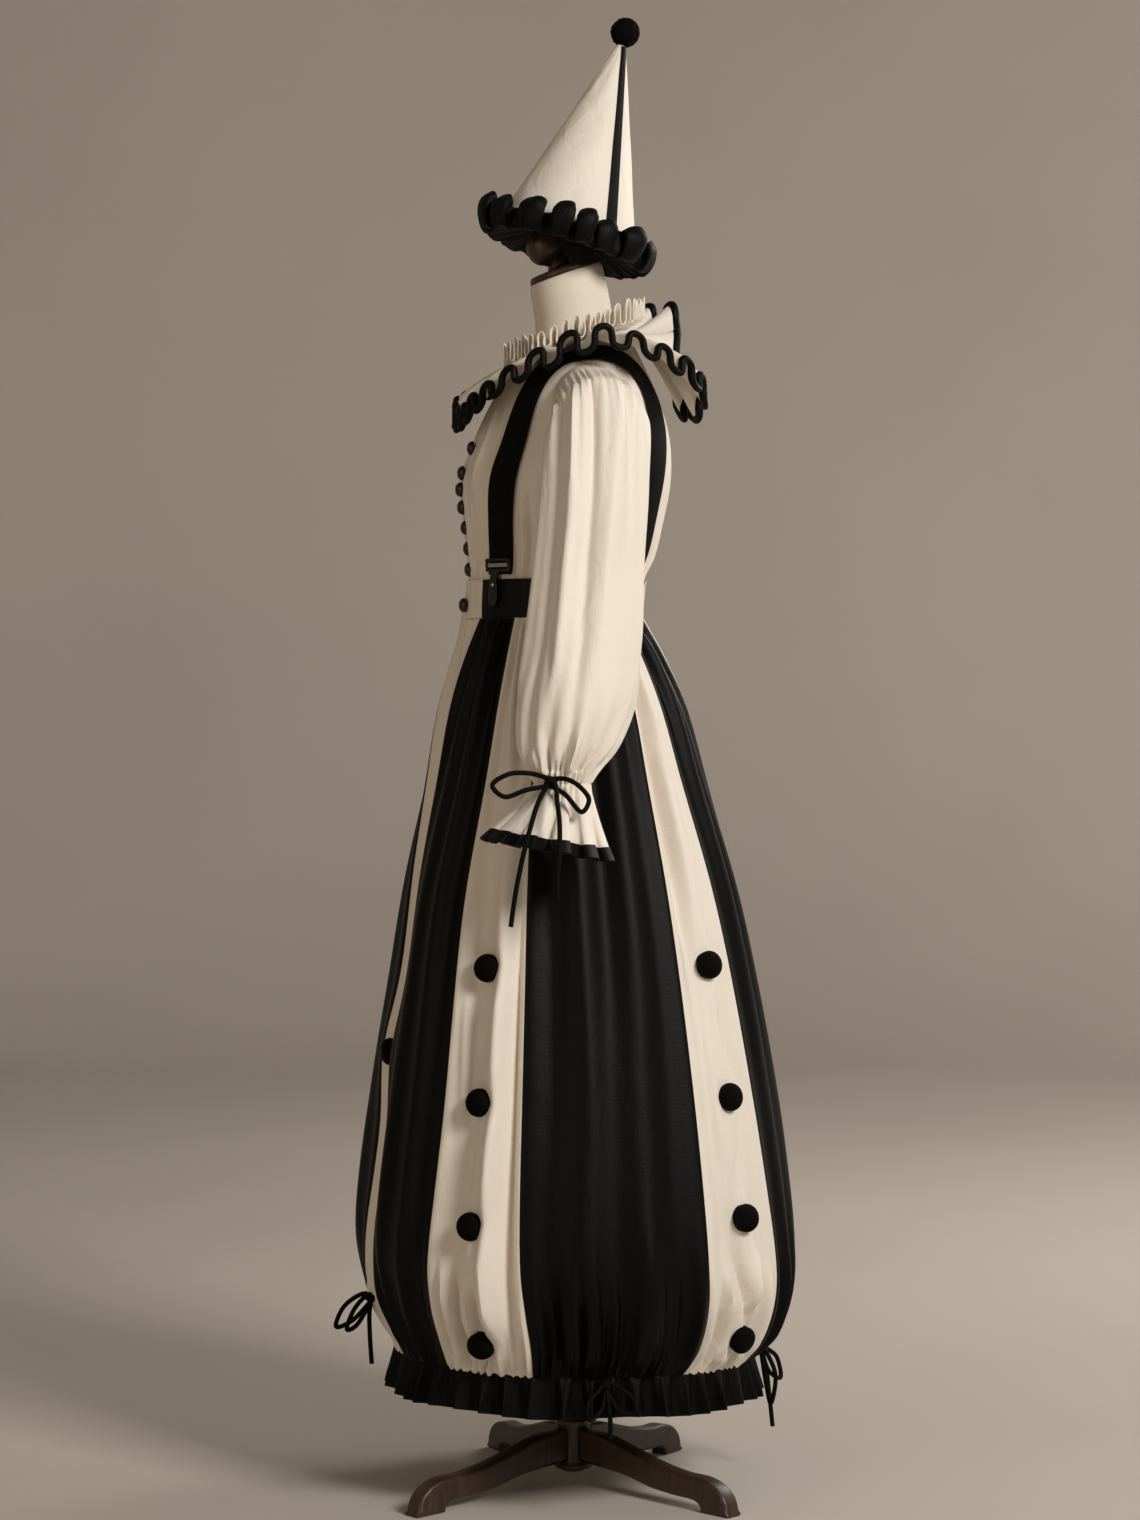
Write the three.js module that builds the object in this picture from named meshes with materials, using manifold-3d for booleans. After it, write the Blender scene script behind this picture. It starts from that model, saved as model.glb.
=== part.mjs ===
// Jester costume on a dress form: cone hat, blouse with ruff collar, braces and balloon skirt.
// Millimetres, +Z up, front toward -Y, wearer's left toward +X, origin on the floor under the post.
// Body angles are in degrees from +X: positive toward the front, so 90 is centre front and -90 centre back.

import * as THREE from "three";
import { mergeVertices } from "three/addons/utils/BufferGeometryUtils.js";
import Module from "manifold-3d";

const wasm = await Module();
wasm.setup();

// Cloth and seams
const CLOTH = 1.6;
const HEAVY_CLOTH = 2.4;
const SEAM = 0.3;
const LIE = 0.5;

// Levels of the stand and the garment
const WAISTBAND_BOTTOM = 1123;
const WAISTBAND_TOP = 1172;
const SHIRT_BOTTOM = 1142;
const NECK_LEVEL = 1474;
const NECK_TILT = 19;
const HEM_LEVEL = 181;
const RUFFLE_BOTTOM = 131;

// Turns and small tools
const rad = (degrees) => degrees * Math.PI / 180;
const mix = (a, b, t) => a + (b - a) * t;
const clamp01 = (t) => Math.min(1, Math.max(0, t));
const ease = (t) => clamp01(t) * clamp01(t) * (3 - 2 * clamp01(t));
const steps = (from, to, count) => Array.from({ length: count + 1 }, (_, i) => mix(from, to, i / count));
const bell = (distance, width) => Math.exp(-((distance / width) ** 2));

// A table with named columns, one row for each section, read as a smooth curve at any key between its rows
function sections(columns, rows) {
  const slope = (k, c) => {
    const a = rows[Math.max(k - 1, 0)];
    const b = rows[Math.min(k + 1, rows.length - 1)];
    return (b[c] - a[c]) / (b[0] - a[0]);
  };
  return (key) => {
    let k = 0;
    while (k < rows.length - 2 && key > rows[k + 1][0]) k += 1;
    const span = rows[k + 1][0] - rows[k][0];
    const t = (key - rows[k][0]) / span;
    const values = {};
    columns.forEach((name, c) => {
      const rise = rows[k + 1][c] - rows[k][c];
      const bend = (1 - t) * (slope(k, c) * span - rise) - t * (slope(k + 1, c) * span - rise);
      values[name] = rows[k][c] + rise * t + t * (1 - t) * bend;
    });
    return values;
  };
}

// The point of an elliptical section at a body angle, moved out by a distance along X and Y
function onSection(section, angle, z, out = 0) {
  const x = (section.halfX + out) * Math.cos(rad(angle));
  const y = section.centreY - (section.halfY + out) * Math.sin(rad(angle));
  return new THREE.Vector3(x, y, z);
}

// Materials
function material(color, roughness, metalness = 0) {
  return new THREE.MeshStandardMaterial({ color, roughness, metalness });
}
const CREAM = material("#d9cbb3", 0.6);
const BLACK = material("#1a1818", 0.65);
const LINEN = material("#d6c9b6", 0.85);
const WALNUT = material("#3b2a1f", 0.4);
const STEEL = material("#b9bbbd", 0.35, 0.9);

const costume = new THREE.Group();

function add(name, geometry, finish) {
  const mesh = new THREE.Mesh(geometry, finish);
  mesh.name = name;
  costume.add(mesh);
  return mesh;
}

// A closed body from points and triangles, turned so that its faces point out
function body(points, triangles) {
  let volume = 0;
  for (const [a, b, c] of triangles) volume += points[a].dot(points[b].clone().cross(points[c]));
  const faces = volume < 0 ? triangles.map(([a, b, c]) => [a, c, b]) : triangles;
  const geometry = new THREE.BufferGeometry().setFromPoints(points);
  geometry.setIndex(faces.flat());
  return geometry;
}

// The direction square to the surface at(u, v)
function surfaceNormal(at, u, v, du, dv) {
  const along = at(u + du, v).sub(at(u - du, v));
  return along.cross(at(u, v + dv).sub(at(u, v - dv))).normalize();
}

// A cloth wall of even thickness about the surface at(u, v), through the columns us and the rows vs.
// A closed wall joins its last column to its first.
function wall(at, us, vs, thickness, closed = false) {
  const du = (us[1] - us[0]) * 0.02;
  const dv = (vs[1] - vs[0]) * 0.02;
  const points = [];
  for (const side of [0.5, -0.5]) {
    for (const v of vs) {
      for (const u of us) {
        points.push(at(u, v).addScaledVector(surfaceNormal(at, u, v, du, dv), side * thickness));
      }
    }
  }
  const columns = us.length;
  const rows = vs.length;
  const index = (side, row, column) => (side * rows + row) * columns + column % columns;
  const triangles = [];
  const quad = (a, b, c, d) => triangles.push([a, b, c], [a, c, d]);
  const lastColumn = closed ? columns : columns - 1;
  for (let i = 0; i < lastColumn; i += 1) {
    for (let j = 0; j < rows - 1; j += 1) {
      quad(index(0, j, i), index(0, j, i + 1), index(0, j + 1, i + 1), index(0, j + 1, i));
      quad(index(1, j, i), index(1, j + 1, i), index(1, j + 1, i + 1), index(1, j, i + 1));
    }
    quad(index(0, 0, i), index(1, 0, i), index(1, 0, i + 1), index(0, 0, i + 1));
    quad(index(0, rows - 1, i), index(0, rows - 1, i + 1), index(1, rows - 1, i + 1), index(1, rows - 1, i));
  }
  if (!closed) {
    for (let j = 0; j < rows - 1; j += 1) {
      quad(index(0, j, 0), index(0, j + 1, 0), index(1, j + 1, 0), index(1, j, 0));
      const end = columns - 1;
      quad(index(0, j, end), index(1, j, end), index(1, j + 1, end), index(0, j + 1, end));
    }
  }
  return body(points, triangles);
}

// The columns of a closed ring: so many to each wave, without the last, which is the first again
const ringColumns = (waves, perWave) => steps(0, 360, waves * perWave).slice(0, -1);

// Joins and cuts
function welded(geometry) {
  const plain = geometry.clone();
  plain.deleteAttribute("normal");
  plain.deleteAttribute("uv");
  const merged = mergeVertices(plain, 1e-3);
  const position = merged.attributes.position;
  const corner = (_, i) => new THREE.Vector3().fromBufferAttribute(position, i);
  const points = Array.from({ length: position.count }, corner);
  const index = merged.index.array;
  const triangles = [];
  for (let i = 0; i < index.length; i += 3) {
    const [a, b, c] = index.slice(i, i + 3);
    if (a !== b && b !== c && c !== a) triangles.push([a, b, c]);
  }
  return body(points, triangles);
}

function toSolid(geometry) {
  const closed = welded(geometry);
  return new wasm.Manifold(new wasm.Mesh({
    numProp: 3,
    vertProperties: new Float32Array(closed.attributes.position.array),
    triVerts: new Uint32Array(closed.index.array),
  }));
}

function fromSolid(solid) {
  const mesh = solid.getMesh();
  const geometry = new THREE.BufferGeometry();
  geometry.setAttribute("position", new THREE.BufferAttribute(mesh.vertProperties, 3));
  geometry.setIndex(new THREE.BufferAttribute(mesh.triVerts, 1));
  return geometry;
}

const joined = (geometries) => fromSolid(geometries.map(toSolid).reduce((sum, solid) => sum.add(solid)));
const cutFrom = (geometry, cutter) => fromSolid(toSolid(geometry).subtract(toSolid(cutter)));

// Solids of turned profiles: rows of radius and height, standing on a point and leaning from +Z
function turned(profile, sides, place = [0, 0, 0], leanBack = 0) {
  const outline = profile.map(([radius, height]) => new THREE.Vector2(radius, height));
  const geometry = new THREE.LatheGeometry(outline, sides);
  geometry.rotateX(Math.PI / 2);
  geometry.rotateX(-rad(leanBack));
  geometry.translate(...place);
  return welded(geometry);
}

// A stack of elliptical rings closed at both ends
function stack(rings, sides) {
  const points = [];
  for (const ring of rings) {
    for (let i = 0; i < sides; i += 1) points.push(ring(i * 360 / sides));
  }
  const triangles = [];
  for (let j = 0; j < rings.length - 1; j += 1) {
    for (let i = 0; i < sides; i += 1) {
      const a = j * sides + i;
      const b = j * sides + (i + 1) % sides;
      triangles.push([a, b, b + sides], [a, b + sides, a + sides]);
    }
  }
  for (const end of [0, rings.length - 1]) {
    const first = end * sides;
    const centre = points.length;
    const middle = new THREE.Vector3();
    for (let i = 0; i < sides; i += 1) middle.addScaledVector(points[first + i], 1 / sides);
    points.push(middle);
    for (let i = 0; i < sides; i += 1) {
      const a = first + i;
      const b = first + (i + 1) % sides;
      triangles.push(end === 0 ? [centre, b, a] : [centre, a, b]);
    }
  }
  return body(points, triangles);
}

// Stand: post and hub in one turning, and four legs clear of it by a seam, of which the two far ones are shorter
// and closer together
const POST_RADIUS = 16;
const HUB_RADIUS = 22;
const POST_TOP = 989.6;
const LEG_THICKNESS = 25;
const HUB_FLAT = HUB_RADIUS * Math.cos(rad(15));
const LEGS = [[33.4, 1, HUB_RADIUS], [132.9, 0.84, HUB_RADIUS], [194.9, 0.84, HUB_FLAT], [303.4, 1, HUB_RADIUS]];

add("stand_post", turned([
  [0, 15], [14, 15], [19, 18], [25, 20], [25, 25], [HUB_RADIUS, 28], [HUB_RADIUS, 74], [23, 77], [22, 82],
  [POST_RADIUS, 88], [POST_RADIUS, POST_TOP], [0, POST_TOP],
], 12), WALNUT);

function legOutline(reach, hub) {
  const shape = new THREE.Shape();
  const through = (...rows) => shape.splineThru(rows.map(([x, z]) => new THREE.Vector2(x * reach, z)));
  shape.moveTo(hub + SEAM, 72);
  through([60, 70], [110, 59], [160, 48], [200, 43], [238, 42]);
  through([262, 35], [277, 22], [284, 0]);
  shape.lineTo(238 * reach, 0);
  through([233, 9], [222, 13], [190, 14]);
  through([150, 17], [100, 26], [HUB_RADIUS + 10, 30]);
  shape.lineTo(hub + SEAM, 31);
  return shape;
}

LEGS.forEach(([angle, reach, hub], i) => {
  const options = { depth: LEG_THICKNESS, bevelEnabled: false, curveSegments: 1 };
  const leg = new THREE.ExtrudeGeometry(legOutline(reach, hub), options);
  leg.translate(0, 0, -LEG_THICKNESS / 2);
  leg.rotateX(Math.PI / 2);
  leg.rotateZ(rad(angle));
  add(`leg_${i + 1}`, welded(leg), WALNUT);
});

// Blouse body: its middle surface by level, and how the neck edge tips down at the front
const shirt = sections(["z", "centreY", "halfX", "halfY"], [
  [1142, -25, 128, 109],
  [1176, -22, 129, 111],
  [1205, -16, 134, 119],
  [1240, -13, 141, 126],
  [1300, -9, 150, 135],
  [1350, -1, 155, 125],
  [1390, 2, 154, 112],
  [1418, 3, 148, 100],
  [1440, 3, 130, 90],
  [1455, 2, 106, 79],
  [1466, 0, 84, 69],
  [NECK_LEVEL, -1, 64, 60],
]);
const SHIRT_LEVELS = [SHIRT_BOTTOM, 1176, 1240, 1300, 1350, 1390, 1418, 1440, 1455, 1466, NECK_LEVEL];
const TILT_START = 1440;
const SHIRT_PUFF = 2.5;

function neckTilt(point, level) {
  point.z += ease((level - TILT_START) / (NECK_LEVEL - TILT_START)) * point.y * Math.tan(rad(NECK_TILT));
  return point;
}

// Soft upright folds that gather the blouse into the waistband and fade over the bust
const gathering = (level) => bell(level - 1215, 45);
function shirtPoint(angle, level, out = 0) {
  const gather = gathering(level) * SHIRT_PUFF * Math.cos(rad(angle * 12));
  return neckTilt(onSection(shirt(level), angle, level, out + gather), level);
}

// Dress form under the blouse, with the neck leaning forward
const formBelow = sections(["z", "centreY", "halfX", "halfY"], [
  [990, -12, 138, 112],
  [1003, -12, 147, 119],
  [1060, -16, 140, 115],
  [1123, -24, 124, 104],
  [1176, -22, 125, 107],
]);
const FORM_INSET = 3.2;
const NECK_HALF = 51;
const NECK_TOP = 1570;
const FORM_DROP = 2.2;
const FORM_SIDES = 16;
const formRing = (level) => (angle) => {
  if (level <= 1176) return onSection(formBelow(level), angle, level);
  const inset = FORM_INSET + SHIRT_PUFF * gathering(level);
  const point = neckTilt(onSection(shirt(level), angle, level, -inset), level);
  point.z -= FORM_DROP * ease((level - TILT_START) / (NECK_LEVEL - TILT_START) + 0.5);
  return point;
};
const neckRing = (centreY, z, half) => (angle) => {
  const point = onSection({ centreY, halfX: half, halfY: half }, angle, z);
  point.z += (point.y - centreY) * Math.tan(rad(NECK_TILT));
  return point;
};
add("form_torso", stack([
  ...[990, 1060, 1123, 1176, 1240, 1300, 1350, 1418, 1440, 1455, 1466, NECK_LEVEL].map(formRing),
  neckRing(0, 1486, NECK_HALF + 1), neckRing(0, 1515, NECK_HALF - 2), neckRing(-10, NECK_TOP, NECK_HALF - 4),
], FORM_SIDES), LINEN);

// Armholes: an oval hole through each side of the blouse
const ARMHOLE = { centreY: -4, centreZ: 1381, halfY: 46, halfZ: 56 };
function armholeCutter(side) {
  const cutter = new THREE.CylinderGeometry(1, 1, 90, 20);
  cutter.rotateZ(Math.PI / 2);
  cutter.scale(1, ARMHOLE.halfY, ARMHOLE.halfZ);
  cutter.translate(side * 145, ARMHOLE.centreY, ARMHOLE.centreZ);
  return cutter;
}

const SHIRT_SEAMS = { left: 0, front: 90, right: 180 };
const seamTurn = (radius) => SEAM / 2 / rad(radius);
const NECK_SEAM_RADIUS = 60;
function shirtPiece(fromAngle, toAngle, columns) {
  const turn = seamTurn(NECK_SEAM_RADIUS);
  const us = steps(fromAngle + turn, toAngle - turn, columns);
  let piece = wall(shirtPoint, us, SHIRT_LEVELS, CLOTH);
  for (const side of [1, -1]) piece = cutFrom(piece, armholeCutter(side));
  return piece;
}
add("blouse_front_left", shirtPiece(SHIRT_SEAMS.left, SHIRT_SEAMS.front, 6), CREAM);
add("blouse_front_right", shirtPiece(SHIRT_SEAMS.front, SHIRT_SEAMS.right, 6), CREAM);
add("blouse_back", shirtPiece(-SHIRT_SEAMS.right, SHIRT_SEAMS.left, 12), CREAM);

// Bishop sleeves: from the armhole edge, over a full head and arm, gathered in at the wrist.
// halfX and halfY are the half widths of each section, and tip is how far its outer side rises.
const SLEEVE_GATHERS = 9;
const SLEEVE_COLUMNS = 18;
const sleeve = sections(["at", "x", "y", "z", "halfX", "halfY", "tip", "gather"], [
  [0, 160, -4, 1381, 10, 52, 60, 0],
  [1, 190, -8, 1366, 30, 57, 50, 3],
  [2, 209, -12, 1332, 45, 62, 28, 2.5],
  [3, 221, -18, 1265, 53, 63, 8, 1],
  [4, 231, -27, 1180, 56, 64, 2, 1],
  [5, 246, -37, 1085, 63, 69, 0, 2],
  [6, 256, -47, 1020, 64, 72, 0, 2.5],
  [7, 264, -59, 967, 55, 60, 0, 3],
  [8, 270, -67, 936, 40, 43, 0, 3],
  [9, 272, -69, 918, 32, 33, 0, 2],
]);
const SLEEVE_ROWS = [0, 1, 2, 3, 5, 6, 7, 8, 9];
const ARMHOLE_LAP = 5;
const ARMHOLE_CLEAR = 1.2;

// Where the blouse side stands at a height and a depth, found from its own sections
function shirtSide(y, z) {
  const section = shirt(z);
  const across = Math.min(0.98, Math.abs((y - section.centreY) / section.halfY));
  return section.halfX * Math.sqrt(1 - across * across);
}

function sleevePoint(angle, at) {
  const c = Math.cos(rad(angle));
  const s = Math.sin(rad(angle));
  const row = sleeve(Math.max(at, 1));
  const gather = row.gather * Math.cos(rad(angle * SLEEVE_GATHERS));
  const arm = new THREE.Vector3(
    row.x + (row.halfX + gather) * c,
    row.y - (row.halfY + gather) * s,
    row.z + row.tip * c,
  );
  if (at >= 1) return arm;
  const y = ARMHOLE.centreY - (ARMHOLE.halfY + ARMHOLE_LAP) * s;
  const z = ARMHOLE.centreZ + (ARMHOLE.halfZ + ARMHOLE_LAP) * c;
  const head = new THREE.Vector3(shirtSide(y, z) + CLOTH + LIE + ARMHOLE_CLEAR * bell(z - 1440, 12), y, z);
  return head.lerp(arm, at);
}

const mirrored = (at, side) => (u, v) => {
  const point = at(u, v);
  point.x *= side;
  return point;
};
const SIDES = [["left", 1], ["right", -1]];

// Cuff flounces: a flared, waved cone under each wrist, leaning with the arm, edged with a black binding
const WRIST = new THREE.Vector3(272, -69, 917.4);
const CUFF_END = new THREE.Vector3(297, -93, 842);
const FLOUNCE = { topRadius: 32, endRadius: 74, flare: 1.2, waves: 11, waveDepth: 9 };
const FLOUNCE_EDGE = 0.84;
const BINDING_EDGE = 0.846;

function flouncePoint(angle, v) {
  const down = new THREE.Vector3(0, 0, -1).lerp(CUFF_END.clone().sub(WRIST).normalize(), ease(v)).normalize();
  const outward = new THREE.Vector3(1, 0, 0).addScaledVector(down, -down.x).normalize();
  const forward = outward.clone().cross(down).multiplyScalar(-1);
  const flare = clamp01(v) ** FLOUNCE.flare;
  const wave = FLOUNCE.waveDepth * clamp01(v) * Math.cos(rad(angle * FLOUNCE.waves));
  const radius = mix(FLOUNCE.topRadius, FLOUNCE.endRadius, flare) + wave;
  return WRIST.clone().lerp(CUFF_END, v)
    .addScaledVector(outward, radius * Math.cos(rad(angle)))
    .addScaledVector(forward, -radius * Math.sin(rad(angle)));
}

for (const [name, side] of SIDES) {
  const sleeveRing = steps(0, 360, SLEEVE_COLUMNS).slice(0, -1);
  add(`sleeve_${name}`, wall(mirrored(sleevePoint, side), sleeveRing, SLEEVE_ROWS, CLOTH, true), CREAM);
  const ring = ringColumns(FLOUNCE.waves, 4);
  const flounce = mirrored(flouncePoint, side);
  add(`cuff_flounce_${name}`, wall(flounce, ring, [0.01, FLOUNCE_EDGE], CLOTH, true), CREAM);
  add(`cuff_binding_${name}`, wall(flounce, ring, [BINDING_EDGE, 1], HEAVY_CLOTH, true), BLACK);
}

// Ruff collar: one wavy circle from the neck edge to a reach and a level that change with the body angle
const COLLAR_WAVES = 21;
const COLLAR_WAVE_DEPTH = 13;
const COLLAR_RISE = 2.4;
const COLLAR_SAG = 1.8;
const collarEdge = sections(["angle", "reach", "z"], [
  [-180, 192, 1460],
  [-150, 172, 1478],
  [-120, 150, 1505],
  [-90, 158, 1440],
  [-60, 168, 1408],
  [-30, 184, 1432],
  [0, 194, 1456],
  [30, 180, 1430],
  [60, 163, 1396],
  [90, 150, 1378],
  [120, 163, 1396],
  [150, 180, 1430],
  [180, 192, 1460],
]);
const wrapped = (angle) => angle - 360 * Math.round(angle / 360);

function collarPoint(angle, v) {
  const base = shirtNeck(angle);
  base.z += COLLAR_RISE;
  const edge = collarEdge(wrapped(angle));
  const wave = COLLAR_WAVE_DEPTH * v * v * Math.cos(rad(angle * COLLAR_WAVES));
  return new THREE.Vector3(
    mix(base.x, edge.reach * Math.cos(rad(angle)), v),
    mix(base.y, -edge.reach * Math.sin(rad(angle)), v),
    mix(base.z, edge.z, Math.max(v, 0) ** COLLAR_SAG) + wave,
  );
}
function shirtNeck(angle) {
  return neckTilt(onSection(shirt(NECK_LEVEL), angle, NECK_LEVEL), NECK_LEVEL);
}
const collarRing = ringColumns(COLLAR_WAVES, 4);
add("ruff_collar", wall(collarPoint, collarRing, [0.02, 0.45, 0.87], CLOTH, true), CREAM);
add("ruff_collar_binding", wall(collarPoint, collarRing, [0.875, 1], HEAVY_CLOTH, true), BLACK);

// Neck frill: tight folds that stand out round the neck above the collar
const FRILL = { folds: 30, inner: 57, outer: 90, rise: 5, lift: 12, foldDepth: 11 };
function frillPoint(angle, v) {
  const radius = mix(FRILL.inner, FRILL.outer, v);
  const x = radius * Math.cos(rad(angle));
  const y = -radius * Math.sin(rad(angle));
  const fold = FRILL.foldDepth * v * Math.cos(rad(angle * FRILL.folds));
  const level = NECK_LEVEL + FRILL.rise + FRILL.lift * v + y * Math.tan(rad(NECK_TILT));
  return new THREE.Vector3(x, y, level + fold);
}
add("neck_frill", wall(frillPoint, ringColumns(FRILL.folds, 2), [0, 1], CLOTH, true), CREAM);

// Waistband: four blocks over the blouse hem
const WAISTBAND_OUT = 4.7;
const FRONT_BLOCK = 24;
const BAND_COLUMN = 12;
const BAND_SEAM_RADIUS = 130;
const waistbandPoint = (angle, level) => onSection(shirt(level), angle, level, WAISTBAND_OUT);
function waistbandBlock(name, from, to, finish) {
  const turn = seamTurn(BAND_SEAM_RADIUS);
  const us = steps(from + turn, to - turn, Math.round((to - from) / BAND_COLUMN));
  add(name, wall(waistbandPoint, us, [WAISTBAND_BOTTOM, WAISTBAND_TOP], HEAVY_CLOTH), finish);
}
waistbandBlock("waistband_front", 90 - FRONT_BLOCK, 90 + FRONT_BLOCK, CREAM);
waistbandBlock("waistband_left", FRONT_BLOCK - 90, 90 - FRONT_BLOCK, BLACK);
waistbandBlock("waistband_back", -90 - FRONT_BLOCK, FRONT_BLOCK - 90, CREAM);
waistbandBlock("waistband_right", 90 + FRONT_BLOCK, 270 - FRONT_BLOCK, BLACK);

// A surface moved out from the body by a distance
function raised(at, distance, du, dv) {
  return (u, v) => {
    const point = at(u, v);
    const normal = surfaceNormal(at, u, v, du, dv);
    const outward = point.clone().sub(new THREE.Vector3(0, 0, WAISTBAND_TOP));
    return point.addScaledVector(normal, normal.dot(outward) < 0 ? -distance : distance);
  };
}

// Braces: a strap over each shoulder on the blouse, from the front waist at 0 to the back waist at 1
const STRAP_WIDTH = 32;
const STRAP_CLOTH = 1.6;
const STRAP_TOP_LEVEL = 1400;
const STRAP_END_LEVEL = 1178;
const strapLine = sections(["at", "x"], [
  [0, 80],
  [0.12, 90],
  [0.25, 102],
  [0.4, 103],
  [0.5, 106],
  [0.6, 110],
  [0.8, 113],
  [1, 98],
]);

function strapDepth(x, level, face) {
  const section = shirt(level);
  return section.centreY + face * section.halfY * Math.sqrt(Math.max(0.02, 1 - (x / section.halfX) ** 2));
}

// The level of the blouse over a point of the shoulder, found by halving
function shoulderLevel(x, y) {
  let low = STRAP_TOP_LEVEL - 20;
  let high = NECK_LEVEL;
  for (let i = 0; i < 30; i += 1) {
    const middle = (low + high) / 2;
    const section = shirt(middle);
    const inside = (x / section.halfX) ** 2 + ((y - section.centreY) / section.halfY) ** 2 < 1;
    if (inside) low = middle;
    else high = middle;
  }
  return low;
}

function strapPoint(across, at) {
  const x = strapLine(at).x + across;
  if (at < 0.4 || at > 0.6) {
    const run = at < 0.4 ? at / 0.4 : (1 - at) / 0.4;
    const level = mix(STRAP_END_LEVEL, STRAP_TOP_LEVEL, run);
    return new THREE.Vector3(x, strapDepth(x, level, at < 0.4 ? -1 : 1), level);
  }
  const y = mix(strapDepth(x, STRAP_TOP_LEVEL, -1), strapDepth(x, STRAP_TOP_LEVEL, 1), (at - 0.4) / 0.2);
  const level = shoulderLevel(x, y);
  return neckTilt(new THREE.Vector3(x, y, level), level);
}

const STRAP_OUT = 4.8;
const STRAP_STATIONS = [
  0, 0.08, 0.16, 0.25, 0.33, 0.39, 0.43, 0.465, 0.5, 0.535, 0.57, 0.59, 0.62, 0.68, 0.76, 0.84, 0.92, 1,
];
const HALF_STRAP = STRAP_WIDTH / 2;
const SLIDER = { width: 42, at: [0.02, 0.045], thickness: 3, clear: 1.6, tabWidth: 14, tabEnd: 1146 };

function braceClip(side) {
  const out = STRAP_OUT + STRAP_CLOTH / 2 + LIE + SLIDER.thickness / 2 + SLIDER.clear;
  const onStrap = raised(strapPoint, out, 1, 0.002);
  const acrossSlider = [-SLIDER.width / 2, 0, SLIDER.width / 2];
  const slider = wall(mirrored(onStrap, side), acrossSlider, SLIDER.at, SLIDER.thickness);
  const top = onStrap(0, SLIDER.at[0] + 0.008);
  const tabPoint = (across, level) => {
    const section = shirt(Math.min(level, STRAP_END_LEVEL));
    const x = mix(strapLine(0).x, top.x, clamp01((level - WAISTBAND_TOP) / (top.z - WAISTBAND_TOP))) + across;
    const clear = WAISTBAND_OUT + HEAVY_CLOTH / 2 + LIE + STRAP_CLOTH + 1;
    const y = section.centreY - (section.halfY + clear) * Math.sqrt(1 - (x / (section.halfX + clear)) ** 2);
    return new THREE.Vector3(x, y, level);
  };
  const halfTab = SLIDER.tabWidth / 2;
  const tabLevels = [SLIDER.tabEnd, WAISTBAND_TOP, top.z];
  const tab = wall(mirrored(tabPoint, side), [-halfTab, halfTab], tabLevels, STRAP_CLOTH);
  return joined([slider, tab]);
}

for (const [name, side] of SIDES) {
  const strap = mirrored(raised(strapPoint, STRAP_OUT, 1, 0.002), side);
  add(`brace_${name}`, wall(strap, [-HALF_STRAP, 0, HALF_STRAP], STRAP_STATIONS, STRAP_CLOTH), BLACK);
  add(`brace_clip_${name}`, braceClip(side), STEEL);
}

// Balloon skirt: its sections by level, the depth of its gathers, and of the inverted fold at centre front
const skirt = sections(["z", "centreY", "halfX", "halfY", "gather", "frontFold"], [
  [181, 10, 235, 236, 2, 2],
  [215, 8, 254, 254, 6, 8],
  [265, 5, 275, 275, 6, 13],
  [320, 0, 284, 284, 5, 20],
  [400, -2, 279, 279, 4, 26],
  [520, -3, 263, 263, 3.5, 28],
  [660, -5, 240, 240, 3.5, 26],
  [785, -8, 217, 216, 3.5, 20],
  [915, -12, 190, 183, 3.5, 13],
  [1010, -16, 172, 159, 4, 8],
  [1075, -21, 153, 134, 4, 3],
  [1122, -25, 134, 113, 2.5, 0],
]);
const DOT_LEVELS = [223, 372, 522, 686];
const SKIRT_TOP = WAISTBAND_BOTTOM - 0.8;
const SKIRT_LEVELS = [HEM_LEVEL, DOT_LEVELS[0], 300, ...DOT_LEVELS.slice(1), 860, 1010, SKIRT_TOP];
const FOLD_WIDTH = 11;
const BACK_FOLD_SHARE = 0.4;

// The seams of the panels by level: body angles of the near half, which the far half mirrors
const skirtSeams = sections(["z", "sideFront", "quarterFront", "front", "sideBack", "quarterBack", "back"], [
  [181, 24.5, 54, 82, -24, -54, -82],
  [350, 24.5, 49.5, 82, -24, -50, -82],
  [500, 24.5, 47.5, 82, -23.7, -48, -82],
  [760, 24.5, 46.6, 81, -23, -45, -81],
  [1020, 24.5, 41, 74, -22, -38, -74],
  [1122, 24.5, 38.6, 68.4, -22, -36, -68],
]);

function skirtPoint(angle, z, wave) {
  const row = skirt(z);
  const front = bell(angle - 90, FOLD_WIDTH) * row.frontFold;
  const back = bell(Math.abs(wrapped(angle + 90)), FOLD_WIDTH) * row.frontFold * BACK_FOLD_SHARE;
  return onSection(row, angle, z, row.gather * wave - front - back);
}

const farSide = (angle) => 180 - angle;
const SKIRT_PANELS = [
  { name: "skirt_front_cream", from: (s) => s.front, to: (s) => farSide(s.front), gathers: 2, finish: CREAM },
  { name: "skirt_back_cream", from: (s) => farSide(s.back) - 360, to: (s) => s.back, gathers: 2, finish: CREAM },
];
for (const [name, side] of SIDES) {
  const turn = side > 0 ? (angle) => angle : farSide;
  const panel = (part, from, to, gathers, finish, dots = 0) => SKIRT_PANELS.push({
    name: `skirt_${part}_${name}`, from: (s) => turn(s[from]), to: (s) => turn(s[to]), gathers, finish, dots,
  });
  panel("front_black", "quarterFront", "front", 3, BLACK);
  panel("front_dotted", "sideFront", "quarterFront", 2, CREAM, 0.5);
  panel("side_black", "sideBack", "sideFront", 3, BLACK);
  panel("back_dotted", "quarterBack", "sideBack", 2, CREAM, 0.5);
  panel("back_black", "back", "quarterBack", 3, BLACK);
}

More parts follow.
